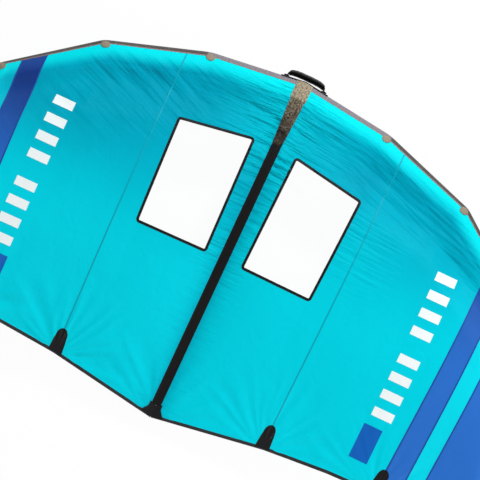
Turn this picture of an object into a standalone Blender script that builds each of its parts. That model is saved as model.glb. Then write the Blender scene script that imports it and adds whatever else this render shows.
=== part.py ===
"""Inflatable hand-held wing for foil boarding: an air-filled leading edge and a centre strut carry a cloth canopy.

Metres. +Z is the canopy's upper side, +Y points towards the leading edge and +X runs along the span.
The origin lies on the ground, under the middle of the wing's outline.
Inside the script a place is (span, back, rise): back is counted from the front of the leading edge at the centre.
"""

import math
from collections import namedtuple

import bmesh
import bpy
from mathutils import Matrix, Vector
from mathutils.geometry import delaunay_2d_cdt

# Cloth, tapes and the clearances between pieces
GAP = 0.0003
CLOTH = 0.0020
TAPE = 0.0032
PATCH = 0.0015
CASING = 0.0020
BLADDER = 0.0015
OVERRUN = 0.030
MERGE = 0.00001

# Outline seen from above
HALF_SPAN = 1.775
CHORD = 1.965
TIP_RISE = 0.300
LE_SPAN_SHARES = (0.0, 0.2955, 0.5986, 0.8479, 0.9611, 1.0)
LE_SETBACK_SHARES = (0.0, 0.0329, 0.1265, 0.3038, 0.5196, 0.8000)
LE_RISE_SHARES = (0.0, 0.0, 0.26, 0.61, 0.87, 1.0)
TE_SPAN_SHARES = (0.0, 0.348, 0.547, 0.696, 0.845, 0.930, 1.0)
TE_SETBACK_SHARES = (1.0, 0.949, 0.932, 0.9262, 0.914, 0.897, 0.862)
TE_RISE_SHARES = (-0.185, 0.02, 0.27, 0.51, 0.81, 1.03, 1.13)

# Leading-edge tube
LE_RADIUS = 0.105
LE_RADIUS_SHARES = (1.0, 0.952, 0.833, 0.648, 0.524, 0.429)
LE_SIDES = 20
ATTACH_STEP = 6
TIP_END_LENGTH = 0.110
TIP_END_SHARE = 0.55
SCUFF_STEPS = (-3, 2)
DOT_DIAMETER = 0.048
DOT_ANGLE = math.radians(37)
DOT_SPOKES = 12
NOSE_WIDTH = 0.088
NOSE_STEPS = (-3, 5)

# Canopy shape
CAMBER_SHARE = 0.047
CAMBER_LEAD_SHARE = 0.22
BILLOW = 0.060
VALLEY_WIDTH = 0.200
CANOPY_ROWS = 14
ROW_PASSES = 40
PANEL_STEP = 0.125

# Seams, as places along the span at the front and at the back of the canopy
MAIN_SEAM_SHARES = (0.358, 0.341)
STRIPE_INNER_SHARES = (0.737, 0.692)
STRIPE_OUTER_SHARES = (0.796, 0.757)
TIP_SEAM_SHARES = (0.856, 0.806)

# Centre band
BAND_WIDTH = 0.053
BAND_FRONT_WIDTH = 0.078
BAND_TAPER_LENGTH = 0.230
FAN_HEIGHT = 0.066
FAN_WIDTH = 0.124
FAN_TOP_WIDTH = 0.070
FAN_NECK_SHARE = 0.3

# Windows: inner front, outer front, outer back and inner back corners
WINDOW_SPAN_SHARES = (0.0732, 0.2913, 0.2772, 0.0645)
WINDOW_SETBACK_SHARES = (0.2025, 0.2349, 0.5247, 0.5219)
WINDOW_CORNER = 0.022
WINDOW_TAPE = 0.015
WINDOW_FILM = 0.0015
CORNER_STEPS = 3
SIDE_STEPS = 4
INNER_LOOP_SHARES = (1.0, 0.66, 0.33)

# Trailing edge
HEM = 0.019
TONGUE_WIDTH = 0.078
TONGUE_HEIGHT = 0.126
TONGUE_ARC_STEPS = 8
BATTEN_WIDTH = 0.008
BATTEN_THICKNESS = 0.0025
BATTEN_ROWS = 3

# Strut
STRUT_RADIUS = 0.058
STRUT_END_RADIUS = 0.038
STRUT_SIDES = 16
STRUT_FRONT = 0.140
STRUT_LAST_ROW = 12
END_CAP_DEPTH = 0.014
KEEL_ROWS = (2, 9)
KEEL_STEPS = (-2, 2)

# Handles: a webbing strap through a padded grip
STRAP_WIDTH = 0.025
STRAP_THICKNESS = 0.0025
STRAP_ROOT = 0.0030
STRAP_ROOT_LENGTH = 0.014
PAD_WIDTH = 0.034
PAD_THICKNESS = 0.024
BORE_SPACE = 0.0006
ROOT_SPACE = 0.0005
HANDLE_STEPS = 16
HANDLE_SQUARENESS = 0.6
PAD_SIDES = 12
PAD_STEPS = (4, 12)
STRUT_HANDLE_SPAN = 0.180
STRUT_HANDLE_REACH = 0.060
FRONT_HANDLE_BACK = 0.640
REAR_HANDLE_BACK = 1.130
NOSE_HANDLE_SPAN = 0.206
NOSE_HANDLE_REACH = 0.060
NOSE_HANDLE_DROOP = math.radians(50)
NOSE_ROOT_SEAT_SHARE = 0.75
NOSE_HANDLE_PATCH = 0.260
NOSE_HANDLE_PATCH_STEPS = (-2, 1)

# Leash loop below the front of the strut
LEASH_BACK = 0.470
LEASH_WEBBING = 0.020
LEASH_THICKNESS = 0.0020
LEASH_LENGTH = 0.046
LEASH_RADIUS = 0.012
LEASH_ARC_STEPS = 11

# Inflation valve, on the rear side of the leading edge
VALVE_SPAN = 0.280
VALVE_STEPS = (-10, -9)
FLANGE_RADIUS = 0.0315
FLANGE_THICKNESS = 0.0025
NECK_RADIUS = 0.018
NECK_HEIGHT = 0.0080
NECK_DEPTH = 0.020
BORE_RADIUS = 0.012
WEB_DEPTH = 0.010
WEB_THICKNESS = 0.0020
GUIDE_RADIUS = 0.0030
AIR_HOLE_RADIUS = 0.0030
AIR_HOLE_RING = 0.0075
AIR_HOLES = 5
HOLE_SPACE = 0.0005
STEM_RADIUS = 0.0025
BUTTON_RADIUS = 0.0045
BUTTON_HEIGHT = 0.0020
PLUNGER_TRAVEL = 0.0040
FLAP_RADIUS = 0.0110
FLAP_THICKNESS = 0.0010
CAP_RADIUS = 0.0205
CAP_THICKNESS = 0.0035
PLUG_RADIUS = 0.0100
PLUG_DEPTH = 0.0022
CAP_HINGE_REACH = 0.0300
CAP_HINGE_RADIUS = 0.0018
CAP_HINGE_LENGTH = 0.0120
CAP_ARM_WIDTH = 0.0100
ROUND_STEPS = 20
SMALL_ROUND_STEPS = 10

# Pump hose from the leading edge to the strut
HOSE_RADIUS = 0.0080
HOSE_BORE = 0.0052
HOSE_SIDES = 10
HOSE_SPAN = 0.205
HOSE_LE_STEPS = (-10, -9)
HOSE_STRUT_ROW = 1
HOSE_STRUT_STEPS = (12, 13)
HOSE_REACH = 0.110
HOSE_STEPS = 14
CLIP_STEP = 7
CLIP_LENGTH = 0.010
CLIP_WIDTH = 0.024
CLIP_HEIGHT = 0.026
LEVER_LENGTH = 0.030
LEVER_WIDTH = 0.010
LEVER_THICKNESS = 0.0030
LEVER_PIN_RADIUS = 0.0022

BLUE = (0.030, 0.075, 0.330)
CYAN = (0.090, 0.480, 0.600)
LIGHT_CYAN = (0.300, 0.680, 0.760)
BLACK = (0.014, 0.014, 0.016)
GREY = (0.160, 0.165, 0.170)
KHAKI = (0.270, 0.250, 0.190)
FILM = (0.780, 0.860, 0.880)
CLEAR_RUBBER = (0.620, 0.640, 0.620)
WHITE = (0.700, 0.700, 0.690)

Station = namedtuple("Station", "centre ahead up stretch radius")


def start_clean():
    for obj in list(bpy.data.objects):
        bpy.data.objects.remove(obj, do_unlink=True)


def place(span, back, rise):
    return Vector((span, -back, rise))


def between(low, high, share):
    return low + (high - low) * share


def read_line(places, values, at):
    """The value at a place, on straight runs between the given places."""
    for i in range(len(places) - 1):
        if at <= places[i + 1] or i == len(places) - 2:
            return between(values[i], values[i + 1], (at - places[i]) / (places[i + 1] - places[i]))


def read_curve(places, values, at):
    """The value at a place, on a smooth curve through the given places."""
    last = len(places) - 1
    i = max(0, min(last - 1, sum(at > p for p in places[1:-1])))
    width = places[i + 1] - places[i]

    def slope(k):
        a, b = max(0, k - 1), min(last, k + 1)
        return (values[b] - values[a]) / (places[b] - places[a])

    t = (at - places[i]) / width
    rise = (2 * t**3 - 3 * t**2 + 1) * values[i] + (3 * t**2 - 2 * t**3) * values[i + 1]
    return rise + width * ((t**3 - 2 * t**2 + t) * slope(i) + (t**3 - t**2) * slope(i + 1))


def material(name, colour, roughness=0.7, metallic=0.0):
    made = bpy.data.materials.get(name) or bpy.data.materials.new(name)
    made.use_nodes = True
    surface = made.node_tree.nodes["Principled BSDF"]
    surface.inputs["Base Color"].default_value = (*colour, 1.0)
    surface.inputs["Roughness"].default_value = roughness
    surface.inputs["Metallic"].default_value = metallic
    return made


def make_object(name, points, faces, look, pivot=None):
    """A named closed mesh. A moving piece gets its origin on its joint's axis."""
    origin = pivot or Vector((0, 0, 0))
    shape = bmesh.new()
    corners = [shape.verts.new(point - origin) for point in points]
    for face in faces:
        shape.faces.new([corners[i] for i in face])
    bmesh.ops.recalc_face_normals(shape, faces=shape.faces)
    mesh = bpy.data.meshes.new(name)
    shape.to_mesh(mesh)
    shape.free()
    mesh.materials.append(look)
    mesh.shade_smooth()
    mesh.set_sharp_from_angle(angle=math.radians(30))
    obj = bpy.data.objects.new(name, mesh)
    obj.location = origin
    bpy.context.collection.objects.link(obj)
    return obj


def skin(name, rings, look, ends="wrap", pivot=None):
    """Joins like rings of points. The ends wrap round to each other, or close as discs or as flat strips.

    Nested skins are split along like diagonals, so that they stay clear of each other where they twist.
    """
    count = len(rings[0])
    points = [point for ring in rings for point in ring]
    faces = []
    order = [abs(sum(p.x for p in ring)) - sum(p.y for p in ring) for ring in rings]
    spans = len(rings) if ends == "wrap" else len(rings) - 1
    for r in range(spans):
        near, far = sorted((r, (r + 1) % len(rings)), key=lambda i: order[i])
        a, b = near * count, far * count
        for k in range(count):
            n = (k + 1) % count
            faces += [(a + k, a + n, b + n), (a + k, b + n, b + k)]
    if ends == "disc":
        faces.append(tuple(range(count)))
        faces.append(tuple(range((len(rings) - 1) * count, len(rings) * count)))
    if ends == "strip":
        for a in (0, (len(rings) - 1) * count):
            for k in range(count // 2 - 1):
                faces.append((a + k, a + k + 1, a + count - 2 - k, a + count - 1 - k))
    return make_object(name, points, faces, look, pivot)


def mirrored(points, side):
    return [Vector((point.x * side, point.y, point.z)) for point in points]


def as_cutter(obj):
    obj.hide_render = True
    obj.display_type = "WIRE"
    return obj


def boolean(obj, other, operation):
    step = obj.modifiers.new(operation.title(), "BOOLEAN")
    step.operation = operation
    step.solver = "EXACT"
    step.object = as_cutter(other)


def leading_edge_stations():
    """The tube's rings from the centre to the tip: a frame and a radius at each kink."""
    outline = [
        Vector((HALF_SPAN * across, -CHORD * back, TIP_RISE * rise))
        for across, back, rise in zip(LE_SPAN_SHARES, LE_SETBACK_SHARES, LE_RISE_SHARES)
    ]
    runs = [(b - a).normalized() for a, b in zip(outline, outline[1:])]
    stations = []
    for i, point in enumerate(outline):
        if i == 0:
            along = Vector((1, 0, 0))
        elif i == len(outline) - 1:
            along = runs[-1]
        else:
            along = (runs[i - 1] + runs[i]).normalized()
        up = (Vector((0, 0, 1)) - along * along.z).normalized()
        ahead = up.cross(along)
        stretch = 1 / along.dot(runs[min(i, len(runs) - 1)])
        radius = LE_RADIUS * LE_RADIUS_SHARES[i]
        stations.append(Station(point - ahead * radius * stretch, ahead, up, stretch, radius))
    return stations


def tip_end(tip):
    along = tip.ahead.cross(tip.up)
    return tip._replace(centre=tip.centre + along * TIP_END_LENGTH, radius=tip.radius * TIP_END_SHARE)


def ring_point(station, angle, clearance=0.0):
    reach = station.radius + clearance
    across = station.ahead * (math.cos(angle) * station.stretch)
    return station.centre + (across + station.up * math.sin(angle)) * reach


def le_angle(step):
    return math.tau * step / LE_SIDES


def ring(station, clearance=0.0):
    return [ring_point(station, le_angle(k), clearance) for k in range(LE_SIDES)]


def blend_station(span, stations):
    """A ring between two kinks of the leading edge, at a place along the span."""
    for a, b in zip(stations, stations[1:]):
        if span <= b.centre.x or b is stations[-1]:
            share = (span - a.centre.x) / (b.centre.x - a.centre.x)
            return Station(*(between(low, high, share) for low, high in zip(a, b)))


LE = leading_edge_stations()
ATTACH = [ring_point(station, le_angle(ATTACH_STEP), GAP) for station in LE]
ATTACH_SPANS = [point.x for point in ATTACH]
CANOPY_END = ATTACH_SPANS[-1]


def front_back(span):
    return read_line(ATTACH_SPANS, [-point.y for point in ATTACH], abs(span))


def front_rise(span):
    return read_line(ATTACH_SPANS, [point.z for point in ATTACH], abs(span))


def trailing(shares, size, span, read):
    return read([HALF_SPAN * s for s in TE_SPAN_SHARES], [size * s for s in shares], abs(span))


def hem_line(span):
    return trailing(TE_SETBACK_SHARES, CHORD, span, read_line)


def canopy_rise(span, back):
    """Height of the cloth's underside above the middle of the leading edge."""
    start = front_back(span)
    chord = hem_line(span) - start
    t = max(0.0, min(1.0, (back - start) / chord))
    straight = between(front_rise(span), trailing(TE_RISE_SHARES, TIP_RISE, span, read_curve), t)
    camber = CAMBER_SHARE * chord * (math.sin(math.pi * t) + CAMBER_LEAD_SHARE * math.sin(math.tau * t))
    from_band = max(0.0, abs(span) - BAND_WIDTH / 2)
    spread = (1 - math.exp(-from_band / VALLEY_WIDTH)) * (1 - (abs(span) / HALF_SPAN) ** 4)
    return straight + camber + BILLOW * spread * math.sin(math.pi * t)


def on_canopy(span, back, lift=0.0):
    return place(span, back, canopy_rise(span, back) + lift)


def seam(shares):
    """A straight seam from the front to the back of the canopy, as a function of the place along the chord."""
    front, rear = (HALF_SPAN * share for share in shares)
    return lambda back: between(front, rear, back / CHORD)


def band_edge(back):
    taper = min(1.0, max(0.0, (back - front_back(0)) / BAND_TAPER_LENGTH))
    return between(BAND_FRONT_WIDTH, BAND_WIDTH, taper) / 2


def cloth_columns(inner, outer):
    """Shares across a panel, a step or less apart."""
    middle = front_back(HALF_SPAN * 0.5)
    steps = max(1, round(abs(outer(middle) - inner(middle)) / PANEL_STEP))
    return [k / steps for k in range(steps + 1)]


def cloth_row(inner, outer, t, columns, end_before):
    """Places of one row: the share t of the way from the front of the canopy to its hem."""
    row = []
    for column in columns:
        back = CHORD * t
        for _ in range(ROW_PASSES):
            span = between(inner(back) + GAP / 2, outer(back) - GAP / 2, column)
            back = between(front_back(span), hem_line(span) - end_before, t)
        row.append((span, back))
    return row


def cloth(name, grid, look, side=1, lift=0.0, thickness=CLOTH):
    """A closed sheet over rows of (span, back) places, draped on the canopy's surface."""
    rows, columns = len(grid), len(grid[0])
    low = [on_canopy(span, back, lift) for row in grid for span, back in row]
    points = mirrored(low + [point + Vector((0, 0, thickness)) for point in low], side)
    faces = []
    top = rows * columns

    def at(r, c):
        return r * columns + c

    for r in range(rows - 1):
        for c in range(columns - 1):
            face = (at(r, c), at(r, c + 1), at(r + 1, c + 1), at(r + 1, c))
            faces += [face, tuple(top + i for i in face)]
    rim = [at(0, c) for c in range(columns)] + [at(r, columns - 1) for r in range(1, rows)]
    rim += [at(rows - 1, c) for c in range(columns - 2, -1, -1)] + [at(r, 0) for r in range(rows - 2, 0, -1)]
    for a, b in zip(rim, rim[1:] + rim[:1]):
        faces.append((a, b, top + b, top + a))
    return make_object(name, points, faces, look)


def with_kinks(row, kinks, edge):
    """A row with a place on each kink of the edge that it follows."""
    low, high = row[0][0], row[-1][0]
    return sorted(row + [(kink, edge(kink)) for kink in kinks if low + CLOTH < kink < high - CLOTH])


def inside(outline, span, back):
    crossings = 0
    for (a, b), (c, d) in zip(outline, outline[1:] + outline[:1]):
        if (b > back) != (d > back) and span < a + (c - a) * (back - b) / (d - b):
            crossings += 1
    return crossings % 2 == 1


def nearest(outline, span, back):
    """The distance from a place to an outline."""
    here = Vector((span, back))
    distances = []
    for a, b in zip(outline, outline[1:] + outline[:1]):
        a, run = Vector(a), Vector(b) - Vector(a)
        share = max(0.0, min(1.0, (here - a).dot(run) / run.length_squared))
        distances.append((here - a - run * share).length)
    return min(distances)


def cut_cloth(name, outline, holes, inner_places, look, side):
    """A closed sheet inside an outline and outside of its holes, draped over a net of places."""
    loops = [outline, *holes]
    places = [Vector(spot) for loop in loops for spot in loop]
    edges = []
    for loop in loops:
        first = len(edges)
        edges += [(first + k, first + (k + 1) % len(loop)) for k in range(len(loop))]
    for span, back in inner_places:
        if min(nearest(loop, span, back) for loop in loops) > PANEL_STEP / 4:
            places.append(Vector((span, back)))
    places, _, triangles, *_ = delaunay_2d_cdt(places, edges, [], 0, MERGE)
    kept = []
    for triangle in triangles:
        a, b, c = (places[i] for i in triangle)
        area = abs((b - a).cross(c - a)) / 2
        middle = (a + b + c) / 3
        if area > MERGE * PANEL_STEP and inside(outline, *middle) and not any(inside(hole, *middle) for hole in holes):
            kept.append(tuple(triangle))
    used = sorted({i for triangle in kept for i in triangle})
    number = {old: new for new, old in enumerate(used)}
    low = [on_canopy(places[i].x, places[i].y) for i in used]
    points = mirrored(low + [point + Vector((0, 0, CLOTH)) for point in low], side)
    top = len(low)
    faces = []
    sides = set()
    for triangle in kept:
        corners = [number[i] for i in triangle]
        faces += [tuple(corners), tuple(top + i for i in corners)]
        sides ^= {frozenset(pair) for pair in zip(corners, corners[1:] + corners[:1])}
    for a, b in sorted(sorted(pair) for pair in sides):
        faces.append((a, b, top + b, top + a))
    return make_object(name, points, faces, look)


def panel(name, inner, outer, look, side, holes=()):
    columns = cloth_columns(inner, outer)
    rows = [cloth_row(inner, outer, r / CANOPY_ROWS, columns, HEM + GAP) for r in range(CANOPY_ROWS + 1)]
    front = with_kinks(rows[0], ATTACH_SPANS, front_back)
    kinks = [HALF_SPAN * share for share in TE_SPAN_SHARES]
    rear = with_kinks(rows[-1], kinks, lambda span: hem_line(span) - HEM - GAP)
    outline = front + [row[-1] for row in rows[1:-1]] + rear[::-1] + [row[0] for row in rows[-2:0:-1]]
    cut_cloth(name, outline, holes, [spot for row in rows[1:-1] for spot in row[1:-1]], look, side)


def hem_stations():
    """Places along the trailing edge, with one at each of its kinks."""
    stops = [HALF_SPAN * share for share in TE_SPAN_SHARES[1:] if HALF_SPAN * share < CANOPY_END]
    stops = [GAP / 2] + stops + [CANOPY_END]
    stations = []
    for low, high in zip(stops, stops[1:]):
        steps = max(1, round((high - low) / PANEL_STEP))
        stations += [between(low, high, k / steps) for k in range(steps)]
    return stations + [CANOPY_END]


def loop_sheet(name, outline, look, side=1, thickness=CLOTH, shares=INNER_LOOP_SHARES):
    """A closed sheet inside an outline of (span, back) places, draped from loops drawn in to its middle."""
    middle_span = sum(span for span, back in outline) / len(outline)
    middle_back = sum(back for span, back in outline) / len(outline)
    count = len(outline)
    low = []
    for share in shares:
        for span, back in outline:
            low.append(on_canopy(between(middle_span, span, share), between(middle_back, back, share)))
    low.append(on_canopy(middle_span, middle_back))
    top = len(low)
    points = mirrored(low + [point + Vector((0, 0, thickness)) for point in low], side)
    faces = []
    for k in range(count):
        n = (k + 1) % count
        faces.append((k, n, top + n, top + k))
        for loop in range(len(shares) - 1):
            a, b = loop * count, (loop + 1) * count
            face = (a + k, a + n, b + n, b + k)
            faces += [face, tuple(top + i for i in face)]
        inner = (len(shares) - 1) * count
        face = (inner + k, inner + n, top - 1)
        faces += [face, tuple(top + i for i in face)]
    return make_object(name, points, faces, look)


def rounded_outline(corners, grow, radius):
    """Points round a four-cornered outline, moved outwards by grow, with rounded corners and stepped sides."""
    count = len(corners)
    lines = []
    for a, b in zip(corners, corners[1:] + corners[:1]):
        run = (b - a).normalized()
        out = Vector((run.y, -run.x))
        lines.append((a + out * grow, run))
    turned = []
    for i in range(count):
        (a, u), (b, v) = lines[i - 1], lines[i]
        step = ((b - a).x * v.y - (b - a).y * v.x) / (u.x * v.y - u.y * v.x)
        turned.append(a + u * step)
    points = []
    bends = []
    for i in range(count):
        u, v = lines[i - 1][1], lines[i][1]
        half = math.acos(max(-1.0, min(1.0, u.dot(v)))) / 2
        inset = radius * math.tan(half)
        start, finish = turned[i] - u * inset, turned[i] + v * inset
        centre = start + Vector((-u.y, u.x)) * radius
        arms = start - centre, finish - centre
        bends.append([])
        for k in range(CORNER_STEPS + 1):
            arm = arms[0].lerp(arms[1], k / CORNER_STEPS).normalized() * radius
            bends[-1].append(centre + arm)
    for i in range(count):
        points += bends[i]
        a, b = bends[i][-1], bends[(i + 1) % count][0]
        points += [a.lerp(b, k / SIDE_STEPS) for k in range(1, SIDE_STEPS)]
    return [(point.x, point.y) for point in points]


def window_outline(grow):
    corners = [
        Vector((HALF_SPAN * across, CHORD * back)) for across, back in zip(WINDOW_SPAN_SHARES, WINDOW_SETBACK_SHARES)
    ]
    return rounded_outline(corners, grow, WINDOW_CORNER + grow)


def on_hem(low, high):
    """Places on the cloth's rear edge between two spans, with one at each of its kinks."""
    row = [(span, hem_line(span) - HEM - GAP) for span in (low, (low + high) / 2, high)]
    kinks = [HALF_SPAN * share for share in TE_SPAN_SHARES]
    return with_kinks(row, kinks, lambda span: hem_line(span) - HEM - GAP)


def tongue_outline(seam_line, grow=0.0, base=None):
    """A round-ended pocket patch that stands on the hem over a seam. A cutter for it reaches past the hem."""
    base_span = seam_line(CHORD)
    half = TONGUE_WIDTH / 2 + grow
    arc_back = hem_line(base_span) - HEM - TONGUE_HEIGHT + TONGUE_WIDTH / 2
    middle = seam_line(arc_back)
    points = on_hem(base_span - half, base_span + half)
    if base is not None:
        points = [points[0], (base_span - half, base), (base_span + half, base), points[-1]]
    for k in range(TONGUE_ARC_STEPS + 1):
        angle = math.pi * k / TONGUE_ARC_STEPS
        points.append((middle + half * math.cos(angle), arc_back - half * math.sin(angle)))
    return points


def fan_outline(grow=0.0, base=None):
    """The reinforcement at the back end of the centre band, across both halves."""
    half, top = FAN_WIDTH / 2 + grow, FAN_TOP_WIDTH / 2 + grow
    head = hem_line(0) - HEM - FAN_HEIGHT - grow
    neck = head + FAN_HEIGHT * FAN_NECK_SHARE
    points = [(across, hem_line(across) - HEM - GAP) for across in (half, half / 2, 0, -half / 2, -half)]
    if base is not None:
        points = [points[0], (half, base), (-half, base), points[-1]]
    return points + [(-top, neck), (-top, head), (0, head), (top, head), (top, neck)]


def build_canopy(side, name):
    main, stripe_in = seam(MAIN_SEAM_SHARES), seam(STRIPE_INNER_SHARES)
    stripe_out, tip_in = seam(STRIPE_OUTER_SHARES), seam(TIP_SEAM_SHARES)
    cyan = material("cyan canopy cloth", CYAN)
    blue = material("blue canopy cloth", BLUE)
    light = material("light canopy cloth", LIGHT_CYAN)
    black = material("black tape", BLACK)
    window = window_outline(WINDOW_TAPE + GAP)
    fan = fan_outline(GAP, CHORD)
    main_pocket, stripe_pocket = tongue_outline(main, GAP, CHORD), tongue_outline(stripe_in, GAP, CHORD)
    panel(
        f"{name}_inner_panel", lambda back: band_edge(back) + GAP / 2, main, cyan, side, (window, fan, main_pocket)
    )
    panel(f"{name}_middle_panel", main, stripe_in, cyan, side, (main_pocket, stripe_pocket))
    panel(f"{name}_dark_stripe", stripe_in, stripe_out, blue, side, (stripe_pocket,))
    panel(f"{name}_light_stripe", stripe_out, tip_in, light, side)
    panel(f"{name}_tip_panel", tip_in, lambda back: CANOPY_END, blue, side)

    film = material("window film", FILM, roughness=0.15)
    loop_sheet(f"{name}_window", window_outline(-GAP), film, side, WINDOW_FILM)
    loops = []
    for outline, lift in ((WINDOW_TAPE, 0), (WINDOW_TAPE, TAPE), (0, TAPE), (0, 0)):
        loops.append(mirrored([on_canopy(*at, lift) for at in window_outline(outline)], side))
    skin(f"{name}_window_frame", loops, black)

    for number, line in enumerate((main, stripe_in), 1):
        loop_sheet(f"{name}_pocket_patch_{number}", tongue_outline(line), black, side, TAPE, (1.0, 0.5))

    stations = hem_stations()
    hem = [[(span, hem_line(span) - HEM) for span in stations], [(span, hem_line(span)) for span in stations]]
    cloth(f"{name}_trailing_hem", hem, black, side, thickness=TAPE)

    rows = [cloth_row(main, main, r / CANOPY_ROWS, (0.5,), HEM + GAP)[0]
            for r in range(CANOPY_ROWS - BATTEN_ROWS, CANOPY_ROWS + 1)]
    half = BATTEN_WIDTH / 2
    batten = [[(span - half, back), (span, back), (span + half, back)] for span, back in rows]
    lift = -GAP - BATTEN_THICKNESS
    cloth(f"{name}_batten", batten, material("batten", GREY), side, lift, BATTEN_THICKNESS)


def centre_rows():
    """Places along the middle of the canopy, shared by the centre band and the strut below it."""
    start = front_back(0)
    return [between(start, hem_line(0) - HEM - GAP, r / CANOPY_ROWS) for r in range(CANOPY_ROWS + 1)]


def build_centre():
    black = material("black tape", BLACK)
    head = min(back for span, back in fan_outline(GAP))
    rows = [back for back in centre_rows() if back < head - PANEL_STEP / 4] + [head]
    band = [[(-band_edge(back), back), (0, back), (band_edge(back), back)] for back in rows]
    band[0] = [(span, front_back(span)) for span, back in band[0]]
    cloth("centre_band", band, black, thickness=TAPE)
    loop_sheet("centre_trailing_patch", fan_outline(), black, 1, TAPE, (1.0, 0.5))


def build_leading_edge(side, name):
    shell = material("cyan casing cloth", CYAN)
    end = tip_end(LE[-1])
    for i in range(3):
        a, b = LE[i], LE[i + 1]
        shift = (b.centre - a.centre).normalized() * (GAP / 2)
        a, b = a._replace(centre=a.centre + shift), b._replace(centre=b.centre - shift)
        rings = [ring(a), ring(b), ring(b, -CASING), ring(a, -CASING)]
        skin(f"{name}_leading_casing_{i + 1}", [mirrored(r, side) for r in rings], shell)
    shift = (LE[4].centre - LE[3].centre).normalized() * (GAP / 2)
    outer = [LE[3]._replace(centre=LE[3].centre + shift), LE[4], LE[5], end]
    back_off = end.ahead.cross(end.up) * CASING
    inner = outer[:3] + [end._replace(centre=end.centre - back_off)]
    rings = [ring(s, -CASING) for s in reversed(inner)] + [ring(s) for s in outer]
    skin(f"{name}_leading_casing_4", [mirrored(r, side) for r in rings], shell, ends="disc")

    low, high = SCUFF_STEPS
    stations = [LE[0]._replace(centre=LE[0].centre + Vector((GAP / 2, 0, 0)))] + LE[1:]
    strips = [arc(s, low, high, GAP, GAP + PATCH) for s in stations]
    skin(f"{name}_scuff_strip", [mirrored(r, side) for r in strips], material("grey tape", GREY), ends="strip")

    for number in (1, 2, 3):
        build_dot(f"{name}_joint_dot_{number}", number, side)


def arc(station, low, high, inner, outer):
    """A closed cross-section of a patch that wraps the leading edge between two of its corners."""
    steps = range(low, high + 1)
    under = [ring_point(station, le_angle(k), inner) for k in steps]
    over = [ring_point(station, le_angle(k), outer) for k in reversed(steps)]
    return under + over


def build_dot(name, kink, side):
    """A round patch over a kink, bent to the tube on both sides of it."""
    under = 2 * GAP + PATCH + GAP
    discs = []
    for clearance in (under, under + PATCH):
        points = []
        for ring_share in (0.0, 0.5, 1.0):
            for spoke in range(DOT_SPOKES if ring_share else 1):
                turn = math.tau * spoke / DOT_SPOKES
                reach = DOT_DIAMETER / 2 * ring_share
                angle = DOT_ANGLE + reach * math.sin(turn) / LE[kink].radius
                along = reach * math.cos(turn)
                here = ring_point(LE[kink], angle, clearance)
                there = ring_point(LE[kink + (1 if along > 0 else -1)], angle, clearance)
                points.append(here + (there - here).normalized() * abs(along))
        discs.append(points)
    top = len(discs[0])
    faces = []
    for k in range(DOT_SPOKES):
        a, b = 1 + k, 1 + (k + 1) % DOT_SPOKES
        c, d = a + DOT_SPOKES, b + DOT_SPOKES
        for face in ((0, a, b), (a, c, d, b)):
            faces += [face, tuple(top + i for i in face)]
        faces.append((c, d, top + d, top + c))
    make_object(name, mirrored(discs[0] + discs[1], side), faces, material("khaki patch", KHAKI))


def both_halves(spread, low, high, inner, outer):
    """Cross-sections of a patch over the centre kink, reaching as far along each half."""
    edge = blend_station(spread, LE)
    section = arc(edge, low, high, inner, outer)
    middle = arc(LE[0], low, high, inner, outer)
    return [mirrored(section, -1), middle, section]


def build_nose():
    low, high = NOSE_STEPS
    under = 2 * GAP + PATCH
    sections = both_halves(NOSE_WIDTH / 2, low, high, under, under + PATCH)
    skin("nose_wrap", sections, material("khaki patch", KHAKI), ends="strip")
    low, high = NOSE_HANDLE_PATCH_STEPS
    under += GAP + PATCH
    sections = both_halves(NOSE_HANDLE_PATCH / 2, low, high, under, under + PATCH)
    skin("nose_handle_patch", sections, material("black tape", BLACK), ends="strip")


def strut_station(back):
    """Centre and radius of the strut, hung from the underside of the centre band."""
    share = (back - STRUT_FRONT) / (CHORD - STRUT_FRONT)
    radius = between(STRUT_RADIUS, STRUT_END_RADIUS, max(0.0, share) ** 2)
    return place(0, back, canopy_rise(0, back) - GAP - radius), radius


def strut_ring(back, clearance=0.0):
    centre, radius = strut_station(back)
    return [strut_point(centre, radius + clearance, k) for k in range(STRUT_SIDES)]


def strut_point(centre, radius, step):
    angle = math.tau * step / STRUT_SIDES
    return centre + Vector((math.sin(angle), 0, -math.cos(angle))) * radius


def build_strut():
    rows = centre_rows()[: STRUT_LAST_ROW + 1]
    cloth_look = material("black strut cloth", BLACK)
    outer = [strut_ring(back) for back in rows]
    inner = [strut_ring(back, -CASING) for back in rows]
    casing = skin("strut_casing", outer + inner[::-1], cloth_look)
    tube = [mirrored(ring(s, GAP), -1) for s in LE[1::-1]] + [ring(s, GAP) for s in LE[1:2]]
    boolean(casing, skin("leading edge cutter", tube, cloth_look, ends="disc"), "DIFFERENCE")

    last = rows[-1]
    end = strut_ring(last, -CASING - GAP)
    plug = [end, slid(end, strut_ring(rows[-2], -CASING - GAP), END_CAP_DEPTH - GAP)]
    skin("strut_end_cap", plug, material("black tape", BLACK), ends="disc")

    steps = range(KEEL_STEPS[0], KEEL_STEPS[1] + 1)
    sections = []
    for back in rows[KEEL_ROWS[0] : KEEL_ROWS[1] + 1]:
        centre, radius = strut_station(back)
        near = [strut_point(centre, radius + GAP, k) for k in steps]
        far = [strut_point(centre, radius + GAP + PATCH, k) for k in reversed(steps)]
        sections.append(near + far)
    skin("strut_keel_patch", sections, material("black tape", BLACK), ends="strip")
    return casing


def circle(centre, axis, radius, steps):
    side = axis.orthogonal().normalized()
    other = axis.cross(side)
    turns = [math.tau * k / steps for k in range(steps)]
    return [centre + (side * math.cos(turn) + other * math.sin(turn)) * radius for turn in turns]


def cylinder(name, centre, axis, radius, length, look, pivot=None, steps=ROUND_STEPS):
    rings = [circle(centre + axis * end, axis, radius, steps) for end in (-length / 2, length / 2)]
    return skin(name, rings, look, ends="disc", pivot=pivot)


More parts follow.
